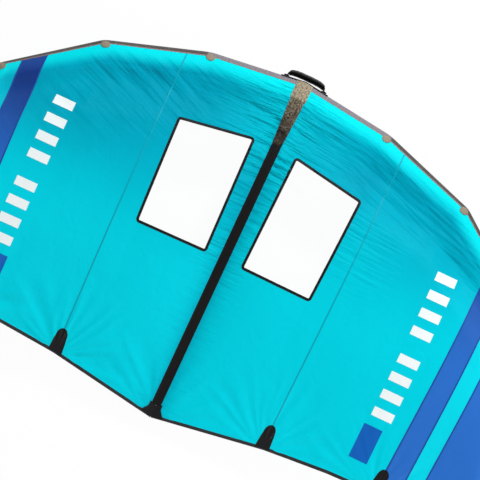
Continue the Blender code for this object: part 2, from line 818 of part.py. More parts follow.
def turned(name, profile, base, axis, look, ends="wrap", pivot=None):
    """Turns (radius, height) points round an axis that stands on a base point."""
    rings = [circle(base + axis * height, axis, radius, ROUND_STEPS) for radius, height in profile]
    return skin(name, rings, look, ends, pivot)


def box(name, centre, axes, sizes, look, pivot=None):
    u, v, w = (axis * size / 2 for axis, size in zip(axes, sizes))
    rings = [[centre + w * end + u * a + v * b for a, b in ((1, 1), (-1, 1), (-1, -1), (1, -1))] for end in (-1, 1)]
    return skin(name, rings, look, ends="disc", pivot=pivot)


def facet_of(quad, inside):
    """The middle of a flat facet and its direction out of the tube."""
    a, b, c, d = quad
    normal = (c - a).cross(d - b).normalized()
    middle = (a + b + c + d) / 4
    return middle, normal if normal.dot(middle - inside) > 0 else -normal


def le_facet(span, steps, side):
    """A place on a flat facet of the leading edge, and its outward direction."""
    here = blend_station(span, LE)
    ends = [blend_station(span + shift, LE) for shift in (-HOSE_RADIUS, HOSE_RADIUS)]
    quad = [ring_point(ends[i], le_angle(k)) for i, k in ((0, steps[0]), (0, steps[1]), (1, steps[1]), (1, steps[0]))]
    middle, normal = facet_of(mirrored(quad, side), mirrored([here.centre], side)[0])
    return middle, normal


def strut_facet():
    rows = centre_rows()[HOSE_STRUT_ROW : HOSE_STRUT_ROW + 2]
    quad = []
    for back, steps in zip(rows, (HOSE_STRUT_STEPS, HOSE_STRUT_STEPS[::-1])):
        centre, radius = strut_station(back)
        quad += [strut_point(centre, radius, k) for k in steps]
    return facet_of(quad, (strut_station(rows[0])[0] + strut_station(rows[1])[0]) / 2)


def slid(ring_from, ring_to, distance):
    """A ring moved along its tube towards the next ring."""
    share = distance / (ring_to[0] - ring_from[0]).length
    return [p.lerp(q, share) for p, q in zip(ring_from, ring_to)]


def build_bladders(valve, hose_port, strut_port):
    look = material("clear bladder film", CLEAR_RUBBER, roughness=0.35)
    clear = CASING + GAP
    end = tip_end(LE[-1])
    back_off = end.ahead.cross(end.up)
    stations = LE + [end]
    solids = []
    for extra in (clear, clear + BLADDER):
        inset = [s if s is not end else s._replace(centre=s.centre - back_off * extra) for s in stations]
        right = [ring(s, -extra) for s in inset]
        left = [mirrored(r, -1) for r in right]
        solids.append(left[:0:-1] + right)
    bladder = skin("leading_bladder", solids[0], look, ends="disc")
    boolean(bladder, skin("air cutter", solids[1], look, ends="disc"), "DIFFERENCE")
    for (point, axis), radius in ((valve, NECK_RADIUS + HOLE_SPACE), (hose_port, HOSE_BORE)):
        boolean(bladder, cylinder("port cutter", point, axis, radius, OVERRUN, look), "DIFFERENCE")

    rows = centre_rows()[1 : STRUT_LAST_ROW + 1]
    solids = []
    for extra in (clear, clear + BLADDER):
        rings = [strut_ring(back, -extra) for back in rows]
        rings[0] = slid(rings[0], rings[1], extra)
        rings[-1] = slid(rings[-1], rings[-2], END_CAP_DEPTH + extra)
        solids.append(rings)
    strut_bladder = skin("strut_bladder", solids[0], look, ends="disc")
    boolean(strut_bladder, skin("air cutter", solids[1], look, ends="disc"), "DIFFERENCE")
    point, axis = strut_port
    boolean(strut_bladder, cylinder("port cutter", point, axis, HOSE_BORE, OVERRUN, look), "DIFFERENCE")


def build_handle(name, ends, outward, reach):
    """A strap that swings on its two sewn roots, through a padded grip."""
    start, finish = ends
    middle = (start + finish) / 2
    half = (finish - start).length / 2
    along = (finish - start).normalized()
    wide = along.cross(outward)
    path = [(-half - STRAP_ROOT_LENGTH, 0.0)]
    for k in range(HANDLE_STEPS + 1):
        turn = math.pi * k / HANDLE_STEPS
        across, out = -math.cos(turn), max(0.0, math.sin(turn))
        if k in (0, HANDLE_STEPS):
            out = 0.0
        path.append((math.copysign(abs(across) ** HANDLE_SQUARENESS, across) * half, reach * out**HANDLE_SQUARENESS))
    path.append((half + STRAP_ROOT_LENGTH, 0.0))

    strap_rings, pad_rings, bore_rings = [], [], []
    for i, (x, out) in enumerate(path):
        before, after = Vector(path[max(0, i - 1)]), Vector(path[min(len(path) - 1, i + 1)])
        run = (after - before).normalized()
        normal = outward * run.x - along * run.y
        centre = middle + along * x + outward * out
        rooted = i in (0, 1, len(path) - 2, len(path) - 1)
        corner = math.sqrt(0.5) if rooted else 1.0
        w = STRAP_ROOT if rooted else STRAP_WIDTH / 2
        t = STRAP_ROOT if rooted else STRAP_THICKNESS / 2
        octagon = ((1, 0), (corner, corner), (0, 1), (-corner, corner),
                   (-1, 0), (-corner, -corner), (0, -1), (corner, -corner))
        strap_rings.append([centre + wide * w * a + normal * t * b for a, b in octagon])
        if PAD_STEPS[0] < i <= PAD_STEPS[1] + 1:
            turns = [math.tau * (k - 0.5) / PAD_SIDES for k in range(PAD_SIDES)]
            oval = [wide * math.cos(a) * PAD_WIDTH / 2 + normal * math.sin(a) * PAD_THICKNESS / 2 for a in turns]
            pad_rings.append([centre + p for p in oval])
            w, t = w + BORE_SPACE, t + BORE_SPACE
            slot = ((1, 0), (1, 1), (0.5, 1), (0, 1), (-0.5, 1), (-1, 1),
                    (-1, 0), (-1, -1), (-0.5, -1), (0, -1), (0.5, -1), (1, -1))
            bore_rings.append([centre + wide * w * a + normal * t * b for a, b in slot])
    skin(f"{name}_strap", strap_rings, material("black webbing", BLACK), ends="disc", pivot=middle)
    return skin(f"{name}_pad", pad_rings + bore_rings[::-1], material("handle pad", BLACK), pivot=middle)


def strut_bottom(back):
    rows = centre_rows()
    rises = [strut_station(row)[0].z - strut_station(row)[1] for row in rows]
    return place(0, back, read_line(rows, rises, back) - GAP - PATCH)


def build_handles():
    stand = Vector((0, 0, ROOT_SPACE + STRAP_ROOT))
    for name, back in (("front_handle", FRONT_HANDLE_BACK), ("rear_handle", REAR_HANDLE_BACK)):
        ends = [strut_bottom(back + shift) - stand for shift in (STRUT_HANDLE_SPAN / 2, -STRUT_HANDLE_SPAN / 2)]
        along = (ends[1] - ends[0]).normalized()
        down = Vector((0, 0, -1))
        build_handle(name, ends, (down - along * down.dot(along)).normalized(), STRUT_HANDLE_REACH)

    layers = 3 * GAP + 3 * PATCH + ROOT_SPACE + STRAP_ROOT * NOSE_ROOT_SEAT_SHARE
    span = NOSE_HANDLE_SPAN / 2
    root = blend_station(span, LE)
    low, high = ring_point(root, le_angle(-1), layers), ring_point(root, le_angle(0), layers)
    right = (low + high) / 2
    outward = Vector((0, math.cos(NOSE_HANDLE_DROOP), -math.sin(NOSE_HANDLE_DROOP)))
    return build_handle("nose_handle", [mirrored([right], -1)[0], right], outward, NOSE_HANDLE_REACH)


def build_leash_loop():
    """A webbing loop that hangs from the keel patch."""
    half = LEASH_WEBBING / 2
    front, rear = strut_bottom(LEASH_BACK - half), strut_bottom(LEASH_BACK + half)
    hang = (front + rear) / 2 - Vector((0, 0, ROOT_SPACE + LEASH_THICKNESS))
    loops = []
    for grow in (0.0, LEASH_THICKNESS):
        radius = LEASH_RADIUS + grow
        drop = LEASH_LENGTH - LEASH_RADIUS
        spread = math.acos(LEASH_RADIUS / drop)
        points = []
        for k in range(LEASH_ARC_STEPS + 1):
            turn = between(-(math.pi - spread), math.pi - spread, k / LEASH_ARC_STEPS)
            points.append((radius * math.sin(turn), -drop - radius * math.cos(turn)))
        points.append((0.0, LEASH_THICKNESS if grow else -2 * LEASH_THICKNESS))
        loops.append(points)
    sheets = []
    for points, end in ((loops[1], rear), (loops[1], front), (loops[0], front), (loops[0], rear)):
        sheets.append([end + Vector((x, 0, z - ROOT_SPACE - LEASH_THICKNESS)) for x, z in points])
    skin("leash_loop", sheets, material("black webbing", BLACK), pivot=hang)


def build_valve(valve):
    """The valve stands on its own frame: +Z out of the tube and +X towards the cap's hinge."""
    point, out = valve
    towards_hinge = Vector((0, 0, 1)).cross(out).normalized()
    frame = bpy.data.objects.new("valve_frame", None)
    turn = Matrix((towards_hinge, out.cross(towards_hinge), out)).transposed().to_4x4()
    frame.matrix_world = Matrix.Translation(point + out * GAP) @ turn
    before = set(bpy.data.objects)
    bpy.context.collection.objects.link(frame)
    hinge_out, tangent, axis = Vector((1, 0, 0)), Vector((0, 1, 0)), Vector((0, 0, 1))
    base = Vector((0, 0, 0))
    plastic = material("black valve plastic", BLACK, roughness=0.4)
    web_low = -WEB_DEPTH - WEB_THICKNESS
    profile = (
        (BORE_RADIUS, NECK_HEIGHT), (BORE_RADIUS, -WEB_DEPTH), (GUIDE_RADIUS, -WEB_DEPTH), (GUIDE_RADIUS, web_low),
        (BORE_RADIUS, web_low), (BORE_RADIUS, -NECK_DEPTH), (NECK_RADIUS, -NECK_DEPTH), (NECK_RADIUS, 0.0),
        (FLANGE_RADIUS, 0.0), (FLANGE_RADIUS, FLANGE_THICKNESS), (NECK_RADIUS, FLANGE_THICKNESS),
        (NECK_RADIUS, NECK_HEIGHT),
    )
    body = turned("valve_base", profile, base, axis, plastic)
    for at in circle(base - axis * WEB_DEPTH, axis, AIR_HOLE_RING, AIR_HOLES):
        hole = cylinder("air hole cutter", at, axis, AIR_HOLE_RADIUS, NECK_HEIGHT, plastic, steps=SMALL_ROUND_STEPS)
        boolean(body, hole, "DIFFERENCE")

    button = -WEB_DEPTH + PLUNGER_TRAVEL + HOLE_SPACE
    flap = web_low - GAP
    profile = (
        (BUTTON_RADIUS, button + BUTTON_HEIGHT), (BUTTON_RADIUS, button), (STEM_RADIUS, button), (STEM_RADIUS, flap),
        (FLAP_RADIUS, flap), (FLAP_RADIUS, flap - FLAP_THICKNESS),
    )
    turned("valve_plunger", profile, base, axis, material("valve membrane", GREY), ends="disc", pivot=base)

    seat = NECK_HEIGHT + GAP
    hinge_height = FLANGE_THICKNESS + HOLE_SPACE + CAP_HINGE_RADIUS
    hinge = base + hinge_out * CAP_HINGE_REACH + axis * hinge_height
    profile = (
        (PLUG_RADIUS, seat - PLUG_DEPTH), (PLUG_RADIUS, seat), (CAP_RADIUS, seat), (CAP_RADIUS, seat + CAP_THICKNESS)
    )
    cap = turned("valve_cap", profile, base, axis, plastic, ends="disc", pivot=hinge)
    inner, outer = NECK_RADIUS + 3 * HOLE_SPACE, CAP_HINGE_REACH + CAP_HINGE_RADIUS / 2
    low, high = hinge_height - CAP_HINGE_RADIUS / 2, seat + CAP_THICKNESS - HOLE_SPACE
    middle = base + hinge_out * (inner + outer) / 2 + axis * (low + high) / 2
    sizes = (outer - inner, CAP_ARM_WIDTH, high - low)
    boolean(cap, box("arm", middle, (hinge_out, tangent, axis), sizes, plastic, hinge), "UNION")
    barrel = cylinder(
        "barrel", hinge, tangent, CAP_HINGE_RADIUS, CAP_HINGE_LENGTH, plastic, hinge, SMALL_ROUND_STEPS
    )
    boolean(cap, barrel, "UNION")
    for obj in set(bpy.data.objects) - before - {frame}:
        obj.parent = frame


def build_hose(start, finish):
    """The air hose under the canopy, with its pinch clip."""
    (a, a_out), (d, d_out) = start, finish
    a, d = a - a_out * CASING, d - d_out * CASING
    b, c = a + a_out * HOSE_REACH, d + d_out * HOSE_REACH
    path = []
    for k in range(HOSE_STEPS + 1):
        t = k / HOSE_STEPS
        path.append(a * (1 - t) ** 3 + b * 3 * t * (1 - t) ** 2 + c * 3 * t * t * (1 - t) + d * t**3)
    runs = [(q - p).normalized() for p, q in zip(path, path[1:])]
    outer, inner = [], []
    side = Vector((0, 0, 1))
    for i, point in enumerate(path):
        if i == 0:
            run = a_out
        elif i == HOSE_STEPS:
            run = -d_out
        else:
            run = (runs[i - 1] + runs[i]).normalized()
        side = (side - run * side.dot(run)).normalized()
        other = run.cross(side)
        turns = [math.tau * k / HOSE_SIDES for k in range(HOSE_SIDES)]
        arms = [side * math.cos(t) + other * math.sin(t) for t in turns]
        outer.append([point + arm * HOSE_RADIUS for arm in arms])
        inner.append([point + arm * HOSE_BORE for arm in arms])
    skin("pump_hose", outer + inner[::-1], material("clear hose", CLEAR_RUBBER, roughness=0.3))

    run = runs[CLIP_STEP]
    up = (Vector((0, 0, 1)) - run * run.z).normalized()
    across = run.cross(up)
    centre = (path[CLIP_STEP] + path[CLIP_STEP + 1]) / 2
    white = material("white clip plastic", WHITE, roughness=0.4)
    body = box("hose_clip_body", centre, (across, up, run), (CLIP_WIDTH, CLIP_HEIGHT, CLIP_LENGTH), white)
    bore = cylinder("hose cutter", centre, run, HOSE_RADIUS + HOLE_SPACE, 2 * CLIP_LENGTH, white)
    boolean(body, bore, "DIFFERENCE")
    level = CLIP_HEIGHT / 2 + HOLE_SPACE
    pin = centre + across * (CLIP_WIDTH / 2 + HOLE_SPACE + LEVER_PIN_RADIUS) + up * (level + LEVER_THICKNESS / 2)
    middle = pin - across * LEVER_LENGTH / 2
    sizes = (LEVER_LENGTH, LEVER_THICKNESS, LEVER_WIDTH)
    lever = box("hose_clip_lever", middle, (across, up, run), sizes, white, pin)
    barrel = cylinder("pin", pin, run, LEVER_PIN_RADIUS, LEVER_WIDTH + CLIP_LENGTH / 4, white, pin, SMALL_ROUND_STEPS)
    boolean(lever, barrel, "UNION")


def set_down(pad):
    """Stands the wing on the ground, with the middle of its outline over the origin."""
    front = max((pad.location + corner.co).y for corner in pad.data.vertices)
    frame = bpy.data.objects.new("wing_frame", None)
    frame.location = (0, (CHORD - front) / 2, LE_RADIUS)
    bpy.context.collection.objects.link(frame)
    for obj in bpy.data.objects:
        if obj is not frame and obj.parent is None:
            obj.parent = frame


def main():
    start_clean()
    build_canopy(1, "right")
    build_canopy(-1, "left")
    build_centre()
    build_leading_edge(1, "right")
    build_leading_edge(-1, "left")
    build_nose()
    casing = build_strut()
    valve = le_facet(VALVE_SPAN, VALVE_STEPS, 1)
    hose_port = le_facet(HOSE_SPAN, HOSE_LE_STEPS, -1)
    strut_port = strut_facet()
    build_bladders(valve, hose_port, strut_port)
    build_valve(valve)
    build_hose(hose_port, strut_port)
    look = material("cutter", GREY)
    holes = (
        (bpy.data.objects["right_leading_casing_1"], valve, NECK_RADIUS + HOLE_SPACE),
        (bpy.data.objects["left_leading_casing_1"], hose_port, HOSE_RADIUS + HOLE_SPACE),
        (casing, strut_port, HOSE_RADIUS + HOLE_SPACE),
    )
    for obj, (point, axis), radius in holes:
        boolean(obj, cylinder("hole cutter", point, axis, radius, OVERRUN, look), "DIFFERENCE")
    build_leash_loop()
    set_down(build_handles())


main()
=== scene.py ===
import math
from collections import namedtuple

import bpy
from mathutils import Matrix, Vector, noise


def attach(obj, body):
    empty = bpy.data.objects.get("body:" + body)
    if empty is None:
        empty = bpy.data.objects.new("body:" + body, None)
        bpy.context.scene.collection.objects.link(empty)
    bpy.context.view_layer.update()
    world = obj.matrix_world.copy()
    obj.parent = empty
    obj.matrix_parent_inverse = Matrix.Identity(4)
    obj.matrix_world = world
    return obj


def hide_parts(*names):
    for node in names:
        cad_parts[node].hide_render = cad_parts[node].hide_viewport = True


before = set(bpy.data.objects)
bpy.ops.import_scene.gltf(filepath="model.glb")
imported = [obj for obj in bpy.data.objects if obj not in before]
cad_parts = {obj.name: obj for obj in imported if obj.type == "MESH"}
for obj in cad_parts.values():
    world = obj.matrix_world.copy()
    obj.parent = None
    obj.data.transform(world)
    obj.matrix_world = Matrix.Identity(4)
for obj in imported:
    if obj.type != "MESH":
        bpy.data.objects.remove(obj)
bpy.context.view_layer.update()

# The wing's plan and section, in metres, the same as in the CAD
FRONT_Y = 0.9598455429
GAP = 0.0003
HALF_SPAN = 1.775
CHORD = 1.965
TIP_RISE = 0.300
LE_SPAN_SHARES = (0.0, 0.2955, 0.5986, 0.8479, 0.9611, 1.0)
LE_SETBACK_SHARES = (0.0, 0.0329, 0.1265, 0.3038, 0.5196, 0.8000)
LE_RISE_SHARES = (0.0, 0.0, 0.26, 0.61, 0.87, 1.0)
TE_SPAN_SHARES = (0.0, 0.348, 0.547, 0.696, 0.845, 0.930, 1.0)
TE_SETBACK_SHARES = (1.0, 0.949, 0.932, 0.9262, 0.914, 0.897, 0.862)
TE_RISE_SHARES = (-0.185, 0.02, 0.27, 0.51, 0.81, 1.03, 1.13)
LE_RADIUS = 0.105
LE_RADIUS_SHARES = (1.0, 0.952, 0.833, 0.648, 0.524, 0.429)
ATTACH_ANGLE = math.radians(108)
TIP_END_LENGTH = 0.110
CAMBER_SHARE = 0.047
CAMBER_LEAD_SHARE = 0.22
BILLOW = 0.060
VALLEY_WIDTH = 0.200
MAIN_SEAM_SHARES = (0.358, 0.341)
STRIPE_INNER_SHARES = (0.737, 0.692)
STRIPE_OUTER_SHARES = (0.796, 0.757)
TIP_SEAM_SHARES = (0.856, 0.806)
BAND_WIDTH = 0.053
BAND_FRONT_WIDTH = 0.078
BAND_TAPER_LENGTH = 0.230
FAN_HEIGHT = 0.066
FAN_WIDTH = 0.124
FAN_TOP_WIDTH = 0.070
WINDOW_SPAN_SHARES = (0.0732, 0.2913, 0.2772, 0.0645)
WINDOW_SETBACK_SHARES = (0.2025, 0.2349, 0.5247, 0.5219)
WINDOW_TAPE = 0.015
HEM = 0.019
TONGUE_WIDTH = 0.078
TONGUE_HEIGHT = 0.126
NOSE_WIDTH = 0.088
SCUFF_LOW = math.radians(-54)
STRUT_RADIUS = 0.058
STRUT_END_RADIUS = 0.038
STRUT_FRONT = 0.140
STRAP_WIDTH = 0.025
HANDLE_SQUARENESS = 0.6
HANDLE_REACH = 0.060
STRUT_HANDLE_SPAN = 0.180
FRONT_HANDLE_BACK = 0.640
REAR_HANDLE_BACK = 1.130
NOSE_HANDLE_SPAN = 0.206
NOSE_HANDLE_DROOP = math.radians(50)
LEASH_BACK = 0.470
ROOT_SPACE = 0.0005
STRAP_ROOT = 0.0030
PATCH_THICKNESS = 0.0015

# Sizes and places of small pieces that the scene sets by itself, angles round the tube among them
WINDOW_CORNER = 0.006
DOT_DIAMETER = 0.051
DOT_ANGLE = math.radians(45)
SCUFF_HIGH = math.radians(42)
BINDING_LOW = math.radians(38.5)
BINDING_HIGH = math.radians(43.5)
STRAP_THICKNESS = 0.0022

# Cloth: its thickness, and its middle's height above its underside
CLOTH = 0.0010
CLOTH_MID = 0.0010
# The clearance that keeps the two halves apart at the middle
MIDDLE_GAP = 0.0008

# The canopy's front edge lies over the tube, from the scuff strip to where it leaves the tube.
# It bridges the valley behind the tube
LAP_ANGLE = math.radians(39.5)
LAP_LIFT = 0.0016
BRIDGE = 0.005
BRIDGE_ANGLE = math.radians(72)
BRIDGE_LENGTH = 0.030

# Heights of the dip behind the tube and of the wrinkles that the stretched cloth really has
DIP = 0.034
DIP_LENGTH = 0.300
# Along the span the dip swells round one place and fades out before the tip
DIP_BASE = 0.62
DIP_SWELL = 0.55
DIP_SWELL_SPAN = 1.0
DIP_SWELL_WIDTH = 0.42
DIP_FADE = (1.35, 1.75)
KINK_FOLD = 0.0140
BAND_FOLD = 0.0170
RUNG_FOLD = 0.0046
POCKET_FOLD = 0.0080
HEM_FOLD = 0.0022
SOFT_WAVE = 0.0040
SMALL_WAVE = 0.0012
# A number that sets the left half's folds apart from the right half's, which are not their mirror image
LEFT_SEED = 40.0

# The long folds behind the tube's bends: how they lean, how far behind the tube and along the span they reach
Streaks = namedtuple("Streaks", "lean depth end strength")
RIGHT_STREAKS = Streaks(0.34, 0.34, 1.12, 1.0)
LEFT_STREAKS = Streaks(0.38, 0.50, 0.95, 0.7)
STREAK_START = (0.28, 0.55)
STREAK_FADE = 0.35
# The folds beside the middle band: how fast they fade sideways, and where they end sideways and rearwards
BAND_FOLD_DECAY = 0.15
BAND_FOLD_SIDE = (0.15, 0.55)
BAND_FOLD_REAR = (0.42, 0.80)
# The crinkles round a pocket lie between these distances from it
POCKET_FOLD_NEAR = 0.02
POCKET_FOLD_FAR = 0.55

Station = namedtuple("Station", "centre ahead up stretch radius")


def between(low, high, share):
    return low + (high - low) * share


def step_up(low, high, at):
    """Rises smoothly from 0 to 1 between two places."""
    t = max(0.0, min(1.0, (at - low) / (high - low)))
    return t * t * (3 - 2 * t)


def read_line(places, values, at):
    for i in range(len(places) - 1):
        if at <= places[i + 1] or i == len(places) - 2:
            return between(values[i], values[i + 1], (at - places[i]) / (places[i + 1] - places[i]))


def read_curve(places, values, at):
    last = len(places) - 1
    i = max(0, min(last - 1, sum(at > p for p in places[1:-1])))
    width = places[i + 1] - places[i]

    def slope(k):
        a, b = max(0, k - 1), min(last, k + 1)
        return (values[b] - values[a]) / (places[b] - places[a])

    t = (at - places[i]) / width
    rise = (2 * t**3 - 3 * t**2 + 1) * values[i] + (3 * t**2 - 2 * t**3) * values[i + 1]
    return rise + width * ((t**3 - 2 * t**2 + t) * slope(i) + (t**3 - t**2) * slope(i + 1))


def running_length(points):
    """How far along a line of points each of them lies."""
    lengths = [0.0]
    for p, q in zip(points, points[1:]):
        lengths.append(lengths[-1] + math.dist(p, q))
    return lengths


def leading_edge_stations():
    outline = [
        Vector((HALF_SPAN * across, -CHORD * back, TIP_RISE * rise))
        for across, back, rise in zip(LE_SPAN_SHARES, LE_SETBACK_SHARES, LE_RISE_SHARES)
    ]
    runs = [(b - a).normalized() for a, b in zip(outline, outline[1:])]
    stations = []
    for i, point in enumerate(outline):
        if i == 0:
            along = Vector((1, 0, 0))
        elif i == len(outline) - 1:
            along = runs[-1]
        else:
            along = (runs[i - 1] + runs[i]).normalized()
        up = (Vector((0, 0, 1)) - along * along.z).normalized()
        ahead = up.cross(along)
        stretch = 1 / along.dot(runs[min(i, len(runs) - 1)])
        radius = LE_RADIUS * LE_RADIUS_SHARES[i]
        stations.append(Station(point - ahead * radius * stretch, ahead, up, stretch, radius))
    return stations


def tube_point(station, angle, clearance):
    """A place on the tube's skin: angle 0 is ahead and 90 degrees is up."""
    reach = station.radius + clearance
    across = station.ahead * (math.cos(angle) * station.stretch)
    return station.centre + (across + station.up * math.sin(angle)) * reach


def mix_stations(a, b, share):
    return Station(*(between(low, high, share) for low, high in zip(a, b)))


def blend_station(span):
    span = abs(span)
    for a, b in zip(LE, LE[1:]):
        if span <= b.centre.x or b is LE[-1]:
            return mix_stations(a, b, (span - a.centre.x) / (b.centre.x - a.centre.x))


LE = leading_edge_stations()
ATTACH = [tube_point(station, ATTACH_ANGLE, GAP) for station in LE]
ATTACH_SPANS = [point.x for point in ATTACH]
CANOPY_END = ATTACH_SPANS[-1]


def front_back(span):
    return read_line(ATTACH_SPANS, [-point.y for point in ATTACH], abs(span))


def front_rise(span):
    return read_line(ATTACH_SPANS, [point.z for point in ATTACH], abs(span))


def trailing(shares, size, span, read):
    return read([HALF_SPAN * s for s in TE_SPAN_SHARES], [size * s for s in shares], abs(span))


def hem_line(span):
    return trailing(TE_SETBACK_SHARES, CHORD, span, read_line)


def canopy_rise(span, back):
    start = front_back(span)
    chord = hem_line(span) - start
    t = max(0.0, min(1.0, (back - start) / chord))
    straight = between(front_rise(span), trailing(TE_RISE_SHARES, TIP_RISE, span, read_curve), t)
    camber = CAMBER_SHARE * chord * (math.sin(math.pi * t) + CAMBER_LEAD_SHARE * math.sin(math.tau * t))
    from_band = max(0.0, abs(span) - BAND_WIDTH / 2)
    spread = (1 - math.exp(-from_band / VALLEY_WIDTH)) * (1 - (abs(span) / HALF_SPAN) ** 4)
    return straight + camber + BILLOW * spread * math.sin(math.pi * t)


def seam(shares):
    front, rear = (HALF_SPAN * share for share in shares)
    return lambda back: between(front, rear, back / CHORD)


SEAMS = [
    seam(shares) for shares in (MAIN_SEAM_SHARES, STRIPE_INNER_SHARES, STRIPE_OUTER_SHARES, TIP_SEAM_SHARES)
]
PANEL_EDGES = [lambda back: MIDDLE_GAP, *SEAMS, lambda back: CANOPY_END]


def band_edge(back):
    taper = min(1.0, max(0.0, (back - front_back(0)) / BAND_TAPER_LENGTH))
    return between(BAND_FRONT_WIDTH, BAND_WIDTH, taper) / 2


def lap_lift(angle):
    """How far the canopy's front edge lies above the tube."""
    return LAP_LIFT + BRIDGE * step_up(BRIDGE_ANGLE, ATTACH_ANGLE, angle)


def crests(along, across, seed):
    """Sharp crests at uneven distances and of uneven height, for folds that run along one way."""
    strength = 0.9 + 1.3 * noise.noise(Vector((along * 0.8, across * 0.22, seed + 60.0)))
    swing = noise.noise(Vector((along, across, seed)))
    return max(0.15, strength) * (0.42 - 1.6 * math.sqrt(swing * swing + 0.003))


def streaks_at(span):
    return RIGHT_STREAKS if span > 0 else LEFT_STREAKS


def streak_line(span, back):
    """Distance across the long folds behind the tube's bends, which lean differently on the two halves."""
    return back - streaks_at(span).lean * span


def streak_share(span, back):
    """How strong those folds are at a place: longer and weaker on the left half."""
    across, behind, here = abs(span), back - front_back(span), streaks_at(span)
    held = step_up(-0.09, -0.02, behind) * (1 - step_up(0.3 * here.depth, here.depth, behind))
    ended = step_up(here.end, here.end + STREAK_FADE, across)
    return held * step_up(*STREAK_START, across) * (1 - ended) * here.strength


def at_band(span, back):
    """0 under the band and 1 beside it."""
    return step_up(-0.004, 0.012, abs(span) - band_edge(back))


def band_share(span, back):
    """How strong the folds beside the middle band are at a place."""
    from_band = abs(span) - band_edge(back)
    near = 0.75 * math.exp(-max(0.0, from_band) / BAND_FOLD_DECAY)
    near += 0.25 * (1 - step_up(*BAND_FOLD_SIDE, from_band))
    return near * (1 - step_up(*BAND_FOLD_REAR, back)) * at_band(span, back)


def rung_share(span, back):
    """How strong the short folds are: between the band and the windows, and right of the right window."""
    near = 1 - step_up(0.05, 0.16, abs(span) - band_edge(back))
    inner = near * step_up(0.25, 0.40, back) * (1 - 0.75 * step_up(0.95, 1.30, back))
    outer = step_up(0.44, 0.56, span) * (1 - step_up(0.60, 0.98, span))
    return inner + 0.8 * outer * step_up(0.40, 0.55, back) * (1 - step_up(0.74, 1.00, back))


def pocket_fold(span, back):
    """Crinkles round the pockets and the centre patch, where the trailing edge is pulled."""
    height = 0.0
    for spot in (0.0, SEAMS[0](CHORD), SEAMS[1](CHORD)):
        here = Vector((abs(span) - spot, hem_line(spot) - back))
        far = here.length
        if not POCKET_FOLD_NEAR <= far <= POCKET_FOLD_FAR:
            continue
        turn = math.atan2(here.x, here.y)
        swing = noise.noise(Vector((turn * 4.5, far * 2.5, 3.7 + spot + (9.0 if span < 0 else 0.0))))
        streak = 0.4 - 1.4 * math.sqrt(swing * swing + 0.004)
        height += POCKET_FOLD * streak * step_up(0.03, 0.12, far) * (1 - step_up(0.25, POCKET_FOLD_FAR, far))
    return height


def fold_line(span, back):
    """Distance across the folds by the band, which follow the tube in front and the span behind."""
    lean = (1.0 if span > 0 else 0.35) * (1 - step_up(0.1, 0.9, back))
    return back - lean * (front_back(span) - front_back(0))


def ripple(span, back):
    """How far the dip behind the tube and the wrinkles lift the canopy at a place."""
    across = abs(span)
    behind = back - front_back(span)
    from_band = across - band_edge(back)
    share = max(0.0, min(1.0, behind / DIP_LENGTH))
    swell = DIP_BASE + DIP_SWELL * math.exp(-(((across - DIP_SWELL_SPAN) / DIP_SWELL_WIDTH) ** 2))
    depth = DIP * swell * (1 - step_up(*DIP_FADE, across))
    height = -depth * math.sin(math.pi * share**0.72) ** 2 * step_up(-0.02, 0.04, from_band)
    height += BRIDGE * math.exp(-max(0.0, behind) / BRIDGE_LENGTH)
    held = step_up(0.0, 0.03, behind)
    if held * at_band(span, back) == 0.0:
        return height
    beside = step_up(0.0, 0.045, from_band)
    at_hem = 1 - step_up(0.02, 0.22, hem_line(span) - back)
    side = LEFT_SEED if span < 0 else 0.0
    folds = BAND_FOLD * band_share(span, back) * crests(span * 3.4, fold_line(span, back) * 24.0, 2.0 + side)
    streaks = crests(across * 2.2, streak_line(span, back) * 11.0, 5.0 + side)
    folds += KINK_FOLD * streak_share(span, back) * streaks
    folds += pocket_fold(span, back) * beside
    rungs = rung_share(span, back) * at_band(span, back)
    folds += RUNG_FOLD * rungs * crests(span * 4.0, back * 22.0, 7.0 + side)
    for size, along, across, seed in ((SOFT_WAVE, 2.4, 2.0, 23.0), (SMALL_WAVE, 9.0, 6.0, 31.0),
                                      (HEM_FOLD * at_hem, 13.0, 2.0, 51.0)):
        folds += size * noise.noise(Vector((span * along, back * across, seed))) * beside
    return height + folds * held


def set_down(point):
    return point + Vector((0, FRONT_Y, LE_RADIUS))


def mirror(point, side):
    return Vector((point.x * side, point.y, point.z))


def on_cloth(span, back, lift=0.0):
    """A place on the canopy, lift metres above the middle of its cloth."""
    rise = canopy_rise(span, back) + ripple(span, back) + CLOTH_MID + lift
    return Vector((span, FRONT_Y - back, LE_RADIUS + rise))


def on_tube(side, station, angle, lift):
    return mirror(set_down(tube_point(station, angle, lift)), side)


def on_front(span, back, lift):
    """The same as on_cloth, but ahead of the tube's top it follows the canopy's front edge over the tube."""
    ahead = front_back(span) - back
    if ahead <= 0:
        return on_cloth(span, back, lift)
    station = blend_station(span)
    angle = ATTACH_ANGLE - ahead / station.radius
    return on_tube(-1 if span < 0 else 1, station, angle, lap_lift(angle) + lift)


def on_lap(line, angle, lift):
    """A place on the canopy's front edge, where a line of the canopy crosses an angle of the tube."""
    guess = line(0.2)
    for _ in range(5):
        point = tube_point(blend_station(guess), angle, lift)
        guess += line(-point.y) - point.x
    return point


def colour(text):
    """A hex colour as screens show it, in the linear values that shaders take."""
    parts = [int(text[i : i + 2], 16) / 255 for i in (1, 3, 5)]
    return tuple(p / 12.92 if p <= 0.04045 else ((p + 0.055) / 1.055) ** 2.4 for p in parts) + (1.0,)


def node(look, kind, inputs=None, out=0, **settings):
    """Adds a node and gives one of its outputs, or all for None. Inputs are values or other outputs."""
    made = look.node_tree.nodes.new("ShaderNode" + kind)
    for name, value in settings.items():
        setattr(made, name, value)
    for socket, value in (inputs or {}).items():
        if isinstance(value, bpy.types.NodeSocket):
            look.node_tree.links.new(value, made.inputs[socket])
        else:
            made.inputs[socket].default_value = value
    return made.outputs if out is None else made.outputs[out]


